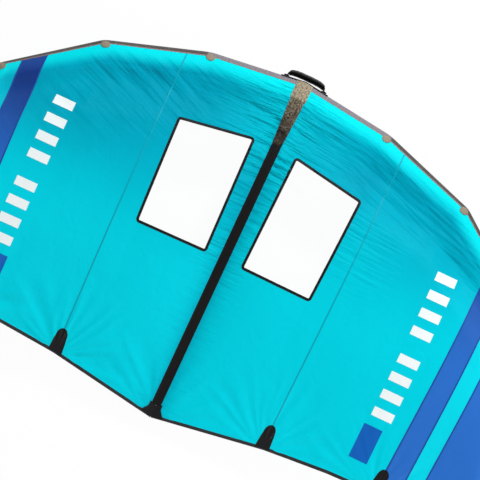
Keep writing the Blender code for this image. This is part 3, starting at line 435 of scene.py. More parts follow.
def cloudy(look, place, scale, **more):
    return node(look, "TexNoise", {"Vector": place, "Scale": scale, **more})


# The scale of a wave texture whose bands lie 1 m apart
WAVE_SCALE = 0.314


def bands(look, place, spacing, axis, **more):
    inputs = {"Vector": place, "Scale": WAVE_SCALE / spacing, **more}
    return node(look, "TexWave", inputs, out=1, bands_direction=axis)


def ranged(look, value, low, high, top=1.0):
    return node(look, "MapRange", {0: value, 1: low, 2: high, 4: top})


def maths(look, operation, *values):
    return node(look, "Math", dict(enumerate(values)), operation=operation)


def blend(look, share, first, second):
    """Mixes two colours, each given as hex text or as an output."""
    first, second = (colour(tone) if isinstance(tone, str) else tone for tone in (first, second))
    return node(look, "Mix", {0: share, 6: first, 7: second}, out=2, data_type="RGBA")


def bumped(look, height, distance, strength, under=None):
    inputs = {"Strength": strength, "Distance": distance, "Height": height}
    if under is not None:
        inputs["Normal"] = under
    return node(look, "Bump", inputs)


def flat_place(look, layer="UVMap"):
    return node(look, "UVMap", uv_map=layer)


def share_of(look, name):
    return node(look, "Attribute", out=2, attribute_name=name)


def start_look(name, **sockets):
    look = bpy.data.materials.new(name)
    look.use_nodes = True
    surface = look.node_tree.nodes["Principled BSDF"]
    for socket, value in sockets.items():
        surface.inputs[socket.replace("_", " ")].default_value = value
    return look, surface


def finish_look(look, surface, tone, bump):
    look.node_tree.links.new(tone, surface.inputs["Base Color"])
    look.node_tree.links.new(bump, surface.inputs["Normal"])
    return look


# How much painted shade darkens the cloth beside the band, over the strut, and how much painted highlight
# lightens the folds there
PAINTED_BAND_SHADE = 0.65
PAINTED_FOLD_HIGHLIGHT = 0.40
# The heights of the canopy's fine creases, by the UV layer that they follow
CREASES = {"band_creases": 0.0480, "streak_creases": 0.0340}


def woven(name, base, deep, light, thread, grid=None, crumple=0.0, roughness=0.5, specular=0.3, rear=None,
          front=None):
    """A woven cloth: dye that varies a little, crossing threads, a rip-stop grid and pressed-in creases.

    thread and grid are spacings in metres, and crumple is the height of the small creases.
    rear is painted light towards the trailing edge, and front is a painted highlight over the tube's top and
    on the folds beside the band.
    Both are for the canopy, whose long creases this look also draws, and which also gets painted shade beside
    the band in its deep colour.
    """
    look, surface = start_look(name, Roughness=roughness, Specular_IOR_Level=specular)
    flat = flat_place(look)
    slow = ranged(look, cloudy(look, flat, 2.2, Detail=3.0, Roughness=0.5), 0.36, 0.64)
    tone = blend(look, slow, base, deep)
    if rear:
        # Painted light: the canopy turns lighter towards the trailing edge
        tone = blend(look, share_of(look, "rear_share"), tone, rear)
        # Painted highlight on the folds beside the band, in the front colour
        painted_fold_highlight = maths(look, "MULTIPLY", share_of(look, "band_creases_share"), PAINTED_FOLD_HIGHLIGHT)
        tone = blend(look, painted_fold_highlight, tone, front)
        # Painted shade beside the band, in the deep colour
        below = maths(look, "MULTIPLY", share_of(look, "strut_below"), PAINTED_BAND_SHADE)
        tone = blend(look, below, tone, deep)
        # Painted highlight over the tube's top, in the front colour
        tone = blend(look, share_of(look, "backed"), tone, front)
    fibre = ranged(look, cloudy(look, flat, 420.0, Detail=1.0), 0.55, 0.80, 0.16)
    tone = blend(look, fibre, tone, light)
    height = maths(look, "ADD", bands(look, flat, thread, "X"), bands(look, flat, thread, "Y"))
    bump = bumped(look, height, thread * 0.12, 0.35)
    if grid:
        bars = [ranged(look, bands(look, flat, grid, axis), 0.90, 1.0) for axis in "XY"]
        bars = maths(look, "MAXIMUM", *bars)
        tone = blend(look, maths(look, "MULTIPLY", bars, 0.22), tone, deep)
        bump = bumped(look, bars, 0.0002, 0.5, bump)
    if crumple:
        small = cloudy(look, flat, 13.0, Detail=5.0, Distortion=0.7)
        bump = bumped(look, small, crumple, 1.0, bump)
    if rear:
        for layer, size in CREASES.items():
            fine = cloudy(look, flat_place(look, layer), 1.0, Detail=2.5, Roughness=0.55)
            fine = maths(look, "SUBTRACT", fine, 0.5)
            fine = maths(look, "MULTIPLY", fine, share_of(look, layer + "_share"))
            bump = bumped(look, fine, size, 1.0, bump)
    return finish_look(look, surface, tone, bump)


# The real stitches are 3 mm long, and these are drawn longer so that they show
STITCH_PITCH = 0.008
STITCH_SHARE = 0.68
STITCH_WIDTH = 0.0014
# How ragged the change between a tape's two colours is, as a share of its length
RAGGED = 0.56


def tape(name, base, worn, thread, rows, roughness=0.55, speckle=0.5, specular=0.2, fade=None):
    """A sewn tape of coated cloth: rubbed specks, a fine weave and rows of stitches along it.

    rows are the places of the stitch rows across the tape, in metres from its middle.
    fade is a second pair of colours and where along the tape they turn into the first.
    """
    look, surface = start_look(name, Roughness=roughness, Specular_IOR_Level=specular)
    flat = flat_place(look)
    specks = ranged(look, cloudy(look, flat, 150.0, Detail=4.0, Roughness=0.7), 0.50, 0.72)
    rubbed = ranged(look, cloudy(look, flat, 16.0, Detail=3.0), 0.35, 0.70, speckle)
    tone = blend(look, maths(look, "MULTIPLY", specks, rubbed), base, worn)
    split = node(look, "SeparateXYZ", {0: flat}, out=None)
    if fade:
        first, first_worn, start, end = fade
        along = maths(look, "MULTIPLY_ADD", rubbed, RAGGED * (end - start), split[1])
        patchy = ranged(look, cloudy(look, flat, 92.0, Detail=5.0, Roughness=0.75), 0.42, 0.58)
        early = blend(look, patchy, first, first_worn)
        tone = blend(look, ranged(look, along, start, end), early, tone)
    bump = bumped(look, cloudy(look, flat, 700.0, Detail=2.0), 0.0004, 0.4)
    stitches = 0.0
    for row in rows:
        off = maths(look, "ABSOLUTE", maths(look, "SUBTRACT", split[0], row))
        stitches = maths(look, "MAXIMUM", stitches, maths(look, "LESS_THAN", off, STITCH_WIDTH / 2))
    beat = maths(look, "FRACT", maths(look, "MULTIPLY", split[1], 1 / STITCH_PITCH))
    stitches = maths(look, "MULTIPLY", stitches, maths(look, "LESS_THAN", beat, STITCH_SHARE))
    tone = blend(look, stitches, tone, thread)
    return finish_look(look, surface, tone, bumped(look, stitches, 0.0006, 0.8, bump))


def webbing(name, base, worn):
    """Flat woven webbing: ribs across it 2 mm apart, and a rubbed edge."""
    look, surface = start_look(name, Roughness=0.62, Specular_IOR_Level=0.3)
    flat = flat_place(look)
    yarn = bands(look, flat, WAVE_SCALE / 240.0, "X")
    height = maths(look, "MULTIPLY", bands(look, flat, 0.002, "Y", Distortion=0.6), yarn)
    grey = maths(look, "MULTIPLY", cloudy(look, flat, 60.0, Detail=3.0), height)
    return finish_look(look, surface, blend(look, grey, base, worn), bumped(look, height, 0.0006, 0.9))


def moulded(name, base, mark, grain=900.0, roughness=0.4, depth=0.0001, **sockets):
    """Moulded plastic or rubber: fine spark-eroded grain and faint flow marks."""
    look, surface = start_look(name, Roughness=roughness, **sockets)
    here = node(look, "TexCoord", out=3)
    tone = blend(look, cloudy(look, here, 55.0, Detail=3.0), base, mark)
    bump = bumped(look, cloudy(look, here, grain, Detail=2.0), depth, 0.5)
    return finish_look(look, surface, tone, bump)


# Rip-stop polyester, dyed and heat-set: a crisp light cloth, even in colour, with a square grid and creases
# Its rear colour is painted light towards the trailing edge and its front colour a painted highlight over the
# tube and on the folds, as in the two looks below
CANOPY_CYAN = woven("rip-stop polyester cyan", "#009DB6", "#0090AA", "#04B4C8", 0.0011, 0.006, 0.0030, 0.5,
                    0.02, rear="#02D0E0", front="#01D6DE")
# The same cloth in the outer stripe, a shade lighter where less of it lies over the sewn layers
CANOPY_LIGHT = woven("rip-stop polyester light cyan", "#00AEC6", "#00A2BA", "#0ABACC", 0.0011, 0.006, 0.0030,
                     0.5, 0.05, rear="#04D4E4", front="#02D9E0")
# The same cloth in deep blue, which shows the threads as lighter specks
CANOPY_BLUE = woven("rip-stop polyester blue", "#13347E", "#102C70", "#2450A0", 0.0011, 0.006, 0.0030, 0.5,
                    0.08, rear="#2A6CC4", front="#1E448C")
# Heavy polyester casing cloth, calendered: smoother than the canopy, taut over the air tube. It has the
# canopy's dye, and is drawn brighter as a painted highlight
PAINTED_BRIGHT_CASING_CYAN = woven("calendered polyester cyan with painted highlight", "#03D4E4", "#02C8DA", "#14DEEA", 0.0013, None, 0.0003, 0.42,
                    0.15)
JOINT_CYAN = tape("folded casing seam", "#07C4D2", "#56E2EA", "#0AA6B6", (-0.004, 0.004), 0.45, 0.3)
# Sewn seam of the canopy cloth on itself: the same dye, darker where two layers lie over each other
SEAM_CYAN = tape("folded cyan seam", "#04A3B7", "#0CB8C9", "#0596AA", (-0.002, 0.002), 0.5, 0.2, 0.1)
SEAM_BLUE = tape("folded blue seam", "#1F4A9A", "#2E5CAC", "#1A4290", (-0.002, 0.002), 0.5, 0.2, 0.1)
# Coated black reinforcement cloth: nearly black, with fine rubbed specks
TAPE_BLACK = tape("coated cloth black", "#080709", "#1F1C20", "#242227", (-0.0045, 0.0045), speckle=0.7,
                  specular=0.12)
POCKET_BLACK = tape("pocket cloth black", "#0A090C", "#201E24", "#27252B", (-0.031, 0.031), speckle=0.8,
                    specular=0.12)
CAP_BLACK = tape("strut end cloth", "#26252A", "#46434A", "#54515A", (0.028,), speckle=0.8)
KEEL_BLACK = tape("keel patch cloth", "#27262B", "#47444B", "#55525A", (-0.037, 0.037), speckle=0.8)
# The same cloth in the centre band: khaki in front, turning raggedly into black behind it
BAND = tape("centre band cloth", "#060507", "#1E1B19", "#1D1B20", (-0.0205, 0.0205), speckle=1.0,
            specular=0.1, fade=("#342D25", "#998C76", 0.10, 0.42))
# Folded black hem, with grey specks painted on as highlight along the trailing edge
HEM_BLACK = tape("folded hem cloth", "#151417", "#504D53", "#454248", (-0.006, 0.004), speckle=0.9)
# Grey scuff cloth on the front of the tube: coarse, lighter up to the first joint, with a rose binding
SCUFF = tape("grey scuff cloth", "#383432", "#8C867F", "#7D7671", (0.0,), 0.6, 1.0,
             fade=("#67626A", "#7C767D", 0.519, 0.531))
BINDING = tape("rose binding tape", "#857070", "#A09090", "#6E5F5F", (0.0,), 0.6, 0.5)
# Khaki scuff cloth of the nose and the joint patches: a coated coarse cloth with pale rubbed specks
KHAKI = tape("khaki scuff cloth", "#5E5445", "#9A8D78", "#5D5446", (-0.036, 0.036), 0.62, 0.8,
             fade=("#5A5042", "#A5987F", 0.30, 0.40))
DOT_KHAKI = tape("khaki joint patch cloth", "#837866", "#A29784", "#645A4D", (0.0215,), 0.6, 0.8)
# Heavy black cloth of the strut: plain woven, dull
STRUT_BLACK = woven("heavy polyester black", "#1E1E21", "#252529", "#3A3A40", 0.0013, None, 0.0004, 0.55, 0.3)
# Flat polyester webbing, woven in ribs
WEBBING = webbing("ribbed webbing black", "#151517", "#3C3C41")
# Foam grip in a coated knit sleeve: black with a soft gloss
GRIP = woven("coated knit sleeve", "#060607", "#0B0B0D", "#1C1C20", 0.0022, None, 0.0008, 0.36, 0.3)
# White and blue heat-bonded film, laid on the canopy: flat and even, with the cloth's creases in it
BONDED_WHITE = woven("bonded film white", "#EDF2F2", "#E2EAEA", "#FFFFFF", 0.0011, None, 0.0006, 0.5, 0.3)
BONDED_BLUE = woven("bonded film blue", "#0A5CB2", "#0954A6", "#1F6CBE", 0.0011, None, 0.0006, 0.5, 0.12)
# Glass-filled nylon of the valve and its cap: moulded, fine matt grain
VALVE = moulded("moulded nylon black", "#17171A", "#222226")
# Silicone membrane: soft grey rubber
MEMBRANE = moulded("silicone membrane grey", "#6A6B6D", "#7A7B7D", roughness=0.55)
# Acetal of the hose clip: smooth white moulding
CLIP = moulded("moulded acetal white", "#DEDEDA", "#E9E9E5", roughness=0.32)
# Pultruded glass-fibre strip: grey with fine streaks
BATTEN = moulded("pultruded glass fibre", "#6A6C6E", "#8A8C8E", grain=260.0, roughness=0.45)
# Clear film and rubber: thin, glossy and slightly cloudy
BLADDER = moulded("polyurethane bladder film", "#C9CEC8", "#D6DAD4", roughness=0.25, Alpha=0.55)
HOSE = moulded("clear soft hose", "#BFC6C2", "#D2D8D4", roughness=0.2, depth=0.00005, Alpha=0.6,
               Coat_Weight=0.4)
WINDOW = moulded("clear window film", "#F4FAFB", "#FFFFFF", grain=14.0, roughness=0.4, depth=0.00003,
                 Alpha=0.03)

# What the CAD pieces that stay in view are made of
HARD_LOOKS = (
    (BLADDER, ("leading_bladder", "strut_bladder")),
    (HOSE, ("pump_hose",)),
    (CLIP, ("hose_clip_body", "hose_clip_lever")),
    (BATTEN, ("left_batten", "right_batten")),
    (VALVE, ("valve_base", "valve_cap")),
    (MEMBRANE, ("valve_plunger",)),
)


def clear_selection():
    if bpy.context.object and bpy.context.object.mode != "OBJECT":
        bpy.ops.object.mode_set(mode="OBJECT")
    bpy.ops.object.select_all(action="DESELECT")


def pick(piece):
    clear_selection()
    piece.select_set(True)
    bpy.context.view_layer.objects.active = piece


def edit(piece, action="SELECT"):
    """Opens a piece for editing, with all or none of it selected."""
    pick(piece)
    bpy.ops.object.mode_set(mode="EDIT")
    bpy.ops.mesh.select_all(action=action)


def finish_edit():
    bpy.ops.object.mode_set(mode="OBJECT")


def apply(piece, kind, **settings):
    pick(piece)
    step = piece.modifiers.new(kind.title(), kind)
    for name, value in settings.items():
        setattr(step, name, value)
    bpy.ops.object.modifier_apply(modifier=step.name)


def smooth(piece, degrees=35):
    pick(piece)
    bpy.ops.object.shade_smooth_by_angle(angle=math.radians(degrees))


def close(piece, fill=None):
    """Fills the open ends of a skin and turns its faces outwards."""
    edit(piece)
    if fill:
        bpy.ops.mesh.select_mode(type="EDGE")
        bpy.ops.mesh.select_all(action="DESELECT")
        bpy.ops.mesh.select_non_manifold()
        fill()
        bpy.ops.mesh.select_all(action="SELECT")
    bpy.ops.mesh.normals_make_consistent(inside=False)
    finish_edit()
    smooth(piece, 50)


def below(point):
    return point - Vector((0, 0, 1))


# Points closer than this are merged where a grid closes on itself
MERGE_DISTANCE = 0.00002


def net(name, columns, rows, where, unwrap, look, inside=below, thickness=0.0008, offset=0.0, merge=False):
    """A grid laid out by a rule: from two shares, where gives a place and unwrap its place on the flat cloth.

    inside gives a place under the outer face of the cloth, for the faces to turn away from.
    """
    clear_selection()
    bpy.ops.mesh.primitive_grid_add(x_subdivisions=columns, y_subdivisions=rows, size=1.0,
                                    location=(0.5, 0.5, 0.0))
    piece = bpy.context.object
    bpy.ops.object.transform_apply(location=True, rotation=False, scale=False)
    piece.name = piece.data.name = name
    mesh = piece.data
    shares = [(corner.co.x, corner.co.y) for corner in mesh.vertices]
    flat = [unwrap(*share) for share in shares]
    layer = mesh.uv_layers.active
    layer.name = "UVMap"
    layer.data.foreach_set("uv", [value for loop in mesh.loops for value in flat[loop.vertex_index]])
    mesh.vertices.foreach_set("co", [value for share in shares for value in where(*share)])
    mesh.update()
    mesh.materials.clear()
    for each in look if isinstance(look, tuple) else (look,):
        mesh.materials.append(each)
    if merge:
        edit(piece)
        bpy.ops.mesh.remove_doubles(threshold=MERGE_DISTANCE)
        finish_edit()
    sample = mesh.polygons[len(mesh.polygons) * 7 // 13]
    if sample.normal.dot(sample.center - inside(sample.center)) < 0:
        edit(piece)
        bpy.ops.mesh.flip_normals()
        finish_edit()
    if thickness:
        apply(piece, "SOLIDIFY", thickness=thickness, offset=offset, use_even_offset=True,
              use_quality_normals=True)
    smooth(piece)
    return piece


def join(name, pieces):
    clear_selection()
    for piece in pieces:
        piece.select_set(True)
    bpy.context.view_layer.objects.active = pieces[0]
    bpy.ops.object.join()
    joined = bpy.context.view_layer.objects.active
    joined.name = joined.data.name = name
    return joined


def laid(name, columns, rows, spot, lift, look, flat=None, **more):
    """A piece that lies on the canopy. From two shares, spot gives its place as span and back."""
    return net(name, columns, rows, lambda a, b: on_cloth(*spot(a, b), lift), flat or spot, look, **more)


def cloth_area(piece):
    """The area of one face of the cloth: half of its closed skin."""
    return sum(face.area for face in piece.data.polygons) / 2


def settle(piece, body, slot, *nodes):
    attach(piece, body)
    if nodes:
        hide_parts(*nodes)
    return piece


COLUMNS = (84, 64, 20, 16, 20)
LAP_ROWS = 18
ROWS = 226
# How evenly the rows lie: 1 is evenly, and less crowds them towards the front
FRONT_CROWD = 0.72
LAP_EDGE_RISE = 0.0008
UNDER_HEM = 0.004
PANELS = ("inner_panel", "middle_panel", "dark_stripe", "light_stripe", "tip_panel")
# The place of each panel's look in the canopy's list of looks
PANEL_LOOKS = (0, 0, 1, 2, 1)
# The attributes that crease_layers adds, and where on each half the painted rear light starts and is full
SHARES = ("band_creases_share", "streak_creases_share", "backed", "strut_below", "rear_share")
RIGHT_PAINTED_REAR_LIGHT = (0.25, 1.15)
LEFT_PAINTED_REAR_LIGHT = (0.50, 1.25)
# How far behind the tube's top the painted highlight reaches, and how wide the painted shade beside the band
# is
PAINTED_TUBE_HIGHLIGHT_LENGTH = 0.080
PAINTED_BAND_SHADE_WIDTH = 0.045


def crease_layers(piece):
    """How the canopy's painted light and shade and its creases vary, as shares, and flat places along its
    folds for fine creases.
    """
    mesh = piece.data
    rows = []
    flats = {"band_creases": [], "streak_creases": []}
    for corner in mesh.vertices:
        span, back = corner.co.x, FRONT_Y - corner.co.y
        rows.append((
            max(band_share(span, back), 0.35 * rung_share(span, back)),
            streak_share(span, back),
            # Painted highlight over the tube's top, fading out behind it
            1 - step_up(-PAINTED_TUBE_HIGHLIGHT_LENGTH, 0.0, back - front_back(span)),
            # Painted shade beside the band, over the strut
            math.exp((band_edge(back) - abs(span)) / PAINTED_BAND_SHADE_WIDTH) * step_up(0.3, 0.7, back),
            # Painted light towards the trailing edge, starting later on the left half
            step_up(*(RIGHT_PAINTED_REAR_LIGHT if span > 0 else LEFT_PAINTED_REAR_LIGHT), back),
        ))
        flats["band_creases"].append((span * 4.0, fold_line(span, back) * 34.0))
        flats["streak_creases"].append((span * 2.2, streak_line(span, back) * 15.0))
    for name, values in zip(SHARES, zip(*rows)):
        mesh.attributes.new(name, "FLOAT", "POINT").data.foreach_set("value", values)
    for name, flat in flats.items():
        layer = mesh.uv_layers.new(name=name)
        layer.data.foreach_set("uv", [value for loop in mesh.loops for value in flat[loop.vertex_index]])
    mesh.uv_layers.active = mesh.uv_layers["UVMap"]


def build_canopy(side, name):
    total = sum(COLUMNS)
    found = {}

    def find(column, row):
        """A corner of the sheet and its place on the flat cloth."""
        zone = 0
        while zone < len(COLUMNS) - 1 and column > COLUMNS[zone]:
            column -= COLUMNS[zone]
            zone += 1
        share = column / COLUMNS[zone]

        def line(back):
            return between(PANEL_EDGES[zone](back), PANEL_EDGES[zone + 1](back), share)

        if row < LAP_ROWS:
            angle = between(LAP_ANGLE, ATTACH_ANGLE, row / LAP_ROWS)
            lift = lap_lift(angle) + LAP_EDGE_RISE * (1 - step_up(0, 2, row))
            point = on_lap(line, angle, lift)
            flat_back = front_back(point.x) - (ATTACH_ANGLE - angle) * blend_station(point.x).radius
            return mirror(set_down(point), side), (point.x * side, flat_back)
        b = (row - LAP_ROWS) / (ROWS - LAP_ROWS)
        t = FRONT_CROWD * b + (1 - FRONT_CROWD) * b * b
        back = CHORD * t
        for _ in range(9):
            span = line(back)
            back = between(front_back(span), hem_line(span) - UNDER_HEM, t)
        return on_cloth(span * side, back), (span * side, back)

    def spot(a, b):
        key = (round(a * total), round(b * ROWS))
        if key not in found:
            found[key] = find(*key)
        return found[key]

    sheet = net(f"{name}_canopy", total, ROWS, lambda a, b: spot(a, b)[0], lambda a, b: spot(a, b)[1],
                (CANOPY_CYAN, CANOPY_BLUE, CANOPY_LIGHT), thickness=0)
    hole = window_outline(WINDOW_TAPE / 2)
    edit(sheet, "DESELECT")
    bpy.ops.mesh.select_mode(type="FACE")
    finish_edit()
    for face in sheet.data.polygons:
        span, back = abs(face.center.x), FRONT_Y - face.center.y
        face.material_index = PANEL_LOOKS[sum(span > line(back) for line in SEAMS)]
        face.select = inside_outline(hole, span, back)
    bpy.ops.object.mode_set(mode="EDIT")
    bpy.ops.mesh.delete(type="FACE")
    finish_edit()
    crease_layers(sheet)
    apply(sheet, "SOLIDIFY", thickness=CLOTH, offset=0.0)
    smooth(sheet, 60)
    settle(sheet, "wing", "canopy_cyan", *(f"{name}_{panel}" for panel in PANELS))
    parts = build_window(side, name) + build_seams(side, name) + build_trailing_edge(side, name)
    parts += build_bonded_film(side, name)
    cloth_area(sheet)


def inside_outline(outline, span, back):
    crossings = 0
    for (a, b), (c, d) in zip(outline, outline[1:] + outline[:1]):
        if (b > back) != (d > back) and span < a + (c - a) * (back - b) / (d - b):
            crossings += 1
    return crossings % 2 == 1


CORNER_STEPS = 8
SIDE_STEPS = 44
WINDOW_CORNERS = [
    Vector((HALF_SPAN * across, CHORD * back))
    for across, back in zip(WINDOW_SPAN_SHARES, WINDOW_SETBACK_SHARES)
]
# How far the film reaches under the tape round it
FILM_REACH = 0.008
FILM_LIFT = -0.0002
FILM_THICKNESS = 0.0005
# The frame's tape, folded over both faces of the cloth: places across it and heights
FRAME_PROFILE = (
    (0.0, -0.0014), (0.0, 0.0010), (0.001, 0.0020), (0.0045, 0.0024), (0.0105, 0.0024), (0.014, 0.0020),
    (0.015, 0.0010), (0.015, -0.0014), (0.0075, -0.0018), (0.0, -0.0014),
)


def window_outline(grow):
    """Places round the window, moved outwards by grow, with rounded corners."""
    corners = WINDOW_CORNERS
    count = len(corners)
    lines = []
    for a, b in zip(corners, corners[1:] + corners[:1]):
        run = (b - a).normalized()
        lines.append((a + Vector((run.y, -run.x)) * grow, run))
    points, bends = [], []
    for i in range(count):
        (a, u), (b, v) = lines[i - 1], lines[i]
        step = ((b - a).x * v.y - (b - a).y * v.x) / (u.x * v.y - u.y * v.x)
        corner = a + u * step
        half = math.acos(max(-1.0, min(1.0, u.dot(v)))) / 2
        radius = WINDOW_CORNER + grow
        inset = radius * math.tan(half)
        start, finish = corner - u * inset, corner + v * inset
        centre = start + Vector((-u.y, u.x)) * radius
        arms = [
            (start - centre).lerp(finish - centre, k / CORNER_STEPS).normalized()
            for k in range(CORNER_STEPS + 1)
        ]
        bends.append([centre + arm * radius for arm in arms])
    for i in range(count):
        points += bends[i]
        a, b = bends[i][-1], bends[(i + 1) % count][0]
        points += [a.lerp(b, k / SIDE_STEPS) for k in range(1, SIDE_STEPS)]
    return [(point.x, point.y) for point in points]


def build_window(side, name):
    middle = sum(WINDOW_CORNERS, Vector((0, 0))) / 4
    corners = [corner + (corner - middle).normalized() * FILM_REACH for corner in WINDOW_CORNERS]

    def spot(a, b):
        here = corners[0].lerp(corners[1], a).lerp(corners[3].lerp(corners[2], a), b)
        return here.x * side, here.y

    film = laid(f"{name}_window_film", 40, 60, spot, FILM_LIFT, WINDOW, thickness=FILM_THICKNESS)
    settle(film, "wing", "window_film", f"{name}_window")
    cloth_area(film)

    loops = [window_outline(grow) for grow, lift in FRAME_PROFILE]
    loops = [loop + loop[:1] for loop in loops]
    lengths = running_length(loops[4])
    around, across = len(loops[0]) - 1, len(FRAME_PROFILE) - 1

    def on_frame(a, b):
        i = round(b * across)
        span, back = loops[i][round(a * around)]
        return on_cloth(span * side, back, FRAME_PROFILE[i][1])

    def frame_flat(a, b):
        return FRAME_PROFILE[round(b * across)][0] - WINDOW_TAPE / 2, lengths[round(a * around)]

    border = net(f"{name}_window_border", around, across, on_frame, frame_flat, TAPE_BLACK, thickness=0,
                 merge=True)
    close(border)
    return [settle(border, "wing", "tape_black", f"{name}_window_frame")]


SEAM_WIDTH = 0.0075
SEAM_THICKNESS = 0.0007
SEAM_LIFT = 0.0009
SEAM_BULGE = 0.0004


def strip(name, line, steps, look):
    """A seam along a line of (span, back) places, given by a share from its front to its back end."""
    places = [Vector(line(k / steps)) for k in range(steps + 1)]
    lengths = running_length(places)

    def where(a, b):
        k = round(b * steps)
        run = places[min(k + 1, steps)] - places[max(k - 1, 0)]
        here = places[k] + Vector((-run.y, run.x)).normalized() * (SEAM_WIDTH * (a - 0.5))
        return on_cloth(here.x, here.y, SEAM_LIFT + SEAM_BULGE * math.sin(math.pi * a))

    def unwrap(a, b):
        return (a - 0.5) * SEAM_WIDTH, lengths[round(b * steps)]

    return net(name, 4, steps, where, unwrap, look, thickness=SEAM_THICKNESS)


def build_seams(side, name):
    """The seams between the panels, each from the scuff strip over the tube and back to the hem."""
    made = []
    steps = 24
    for number, line in enumerate(SEAMS, 1):
        front = front_back(line(0.4))
        for _ in range(4):
            front = front_back(line(front))
        rear = hem_line(line(CHORD)) - HEM * 0.6
        look, slot = (SEAM_CYAN, "canopy_cyan") if number == 1 else (SEAM_BLUE, "canopy_blue")

        def back_line(t):
            return line(between(front, rear, t)) * side, between(front - 0.001, rear, t)

        def lap_where(a, b):
            shift = (a - 0.5) * SEAM_WIDTH
            angle = between(LAP_ANGLE + 0.02, ATTACH_ANGLE, round(b * steps) / steps)
            lift = lap_lift(angle) + SEAM_LIFT + SEAM_BULGE * math.sin(math.pi * a)
            return mirror(set_down(on_lap(lambda back: line(back) + shift, angle, lift)), side)

        parts = [
            strip(f"{name}_seam_{number}", back_line, 150, look),
            net(f"{name}_seam_lap_{number}", 4, steps, lap_where,
                lambda a, b: ((a - 0.5) * SEAM_WIDTH, b * 0.12), look, inside=tube_axis,
                thickness=SEAM_THICKNESS),
        ]
        made.append(settle(join(f"{name}_seam_{number}", parts), "wing", slot))
    return made


HEM_STEPS = 220
# The share of a tongue's height below its round end, how much it narrows, and its lift off the cloth
TONGUE_STRAIGHT = 0.74
TONGUE_TAPER = 0.34
TONGUE_LIFT = 0.0014
PATCH_LAYER = 0.0012
# Heights across the folded hem, and distances from its edge
HEM_PROFILE = (
    (-0.0008, HEM), (0.0008, HEM - 0.0005), (0.0014, HEM * 0.7), (0.0016, HEM * 0.3), (0.0013, 0.0010),
    (0.0, 0.0), (-0.0013, 0.0010), (-0.0016, HEM * 0.5), (-0.0008, HEM),
)


def build_trailing_edge(side, name):
    """The folded hem, and the tongue-shaped batten pockets that stand on it."""
    spans = [between(0.0006, CANOPY_END, k / HEM_STEPS) for k in range(HEM_STEPS + 1)]
    lengths = running_length([(span, hem_line(span)) for span in spans])
    across = len(HEM_PROFILE) - 1

    def where(a, b):
        span = spans[round(b * HEM_STEPS)]
        lift, inset = HEM_PROFILE[round(a * across)]
        return on_cloth(span * side, hem_line(span) - inset, lift)

    def unwrap(a, b):
        return HEM_PROFILE[round(a * across)][1] - HEM / 2, lengths[round(b * HEM_STEPS)]

    hem = net(f"{name}_hem", across, HEM_STEPS, where, unwrap, HEM_BLACK, thickness=0, merge=True)
    close(hem, bpy.ops.mesh.fill)
    made = [settle(hem, "wing", "tape_black", f"{name}_trailing_hem")]
    for number, line in enumerate(SEAMS[:2], 1):
        base = line(CHORD)
        rear = hem_line(base) - HEM * 0.4
        top = hem_line(base) - HEM - TONGUE_HEIGHT

        def spot(a, b):
            b = b**0.8
            back = between(rear, top, b)
            arc = max(0.0, (b - TONGUE_STRAIGHT) / (1 - TONGUE_STRAIGHT))
            half = TONGUE_WIDTH / 2 * (1 - TONGUE_TAPER * b**1.3) * math.sqrt(max(0.0, 1 - arc**2))
            centre = line(back)
            span = centre + (a - 0.5) * 2 * half
            return span * side, back + (hem_line(span) - hem_line(centre)) * (1 - b)

        def flat(a, b):
            span, back = spot(a, b)
            return abs(span) - line(back), back

        patch = laid(f"{name}_pocket_{number}", 14, 26, spot, TONGUE_LIFT, POCKET_BLACK, flat,
                     thickness=PATCH_LAYER, merge=True)
        made.append(settle(patch, "wing", "tape_black", f"{name}_pocket_patch_{number}"))
    return made


# Two groups of plain bars in a row on each half, and a plain oblong behind them
BAR_SPANS = (1.045, 1.159)
BAR_DEPTH = 0.050
BAR_PITCH = 0.103
BAR_GROUPS = (0.615, 1.085)
BARS_IN_GROUP = 4
OBLONG_SPANS = (1.033, 1.137)
OBLONG_BACKS = (1.498, 1.694)
BONDED_THICKNESS = 0.0004
BAR_LIFT = 0.0010
OBLONG_LIFT = 0.0009


def build_bonded_film(side, name):
    bars = []
    for group in BAR_GROUPS:
        for number in range(BARS_IN_GROUP):
            start = group + BAR_PITCH * number

            def spot(a, b):
                return between(*BAR_SPANS, a) * side, between(start, start + BAR_DEPTH, b)

            bars.append(laid(f"{name}_bar", 14, 8, spot, BAR_LIFT, BONDED_WHITE, thickness=BONDED_THICKNESS))
    bars = settle(join(f"{name}_bars", bars), "wing", "canopy_cyan")

    def oblong_spot(a, b):
        return between(*OBLONG_SPANS, a) * side, between(*OBLONG_BACKS, b)

    oblong = laid(f"{name}_oblong", 12, 20, oblong_spot, OBLONG_LIFT, BONDED_BLUE,
                  thickness=BONDED_THICKNESS)
    return [bars, settle(oblong, "wing", "canopy_blue")]


# The band starts this far ahead of the tube's top, and is doubled up to here
BAND_LAP = 0.070
BAND_DOUBLED_TO = 0.335
BAND_LIFT = 0.0013
BAND_LAYER = 0.0008
RIDGE = 0.0010
RIDGE_WIDTH = 0.004
FAN_DIP = 0.014
FAN_LIFT = 0.0024


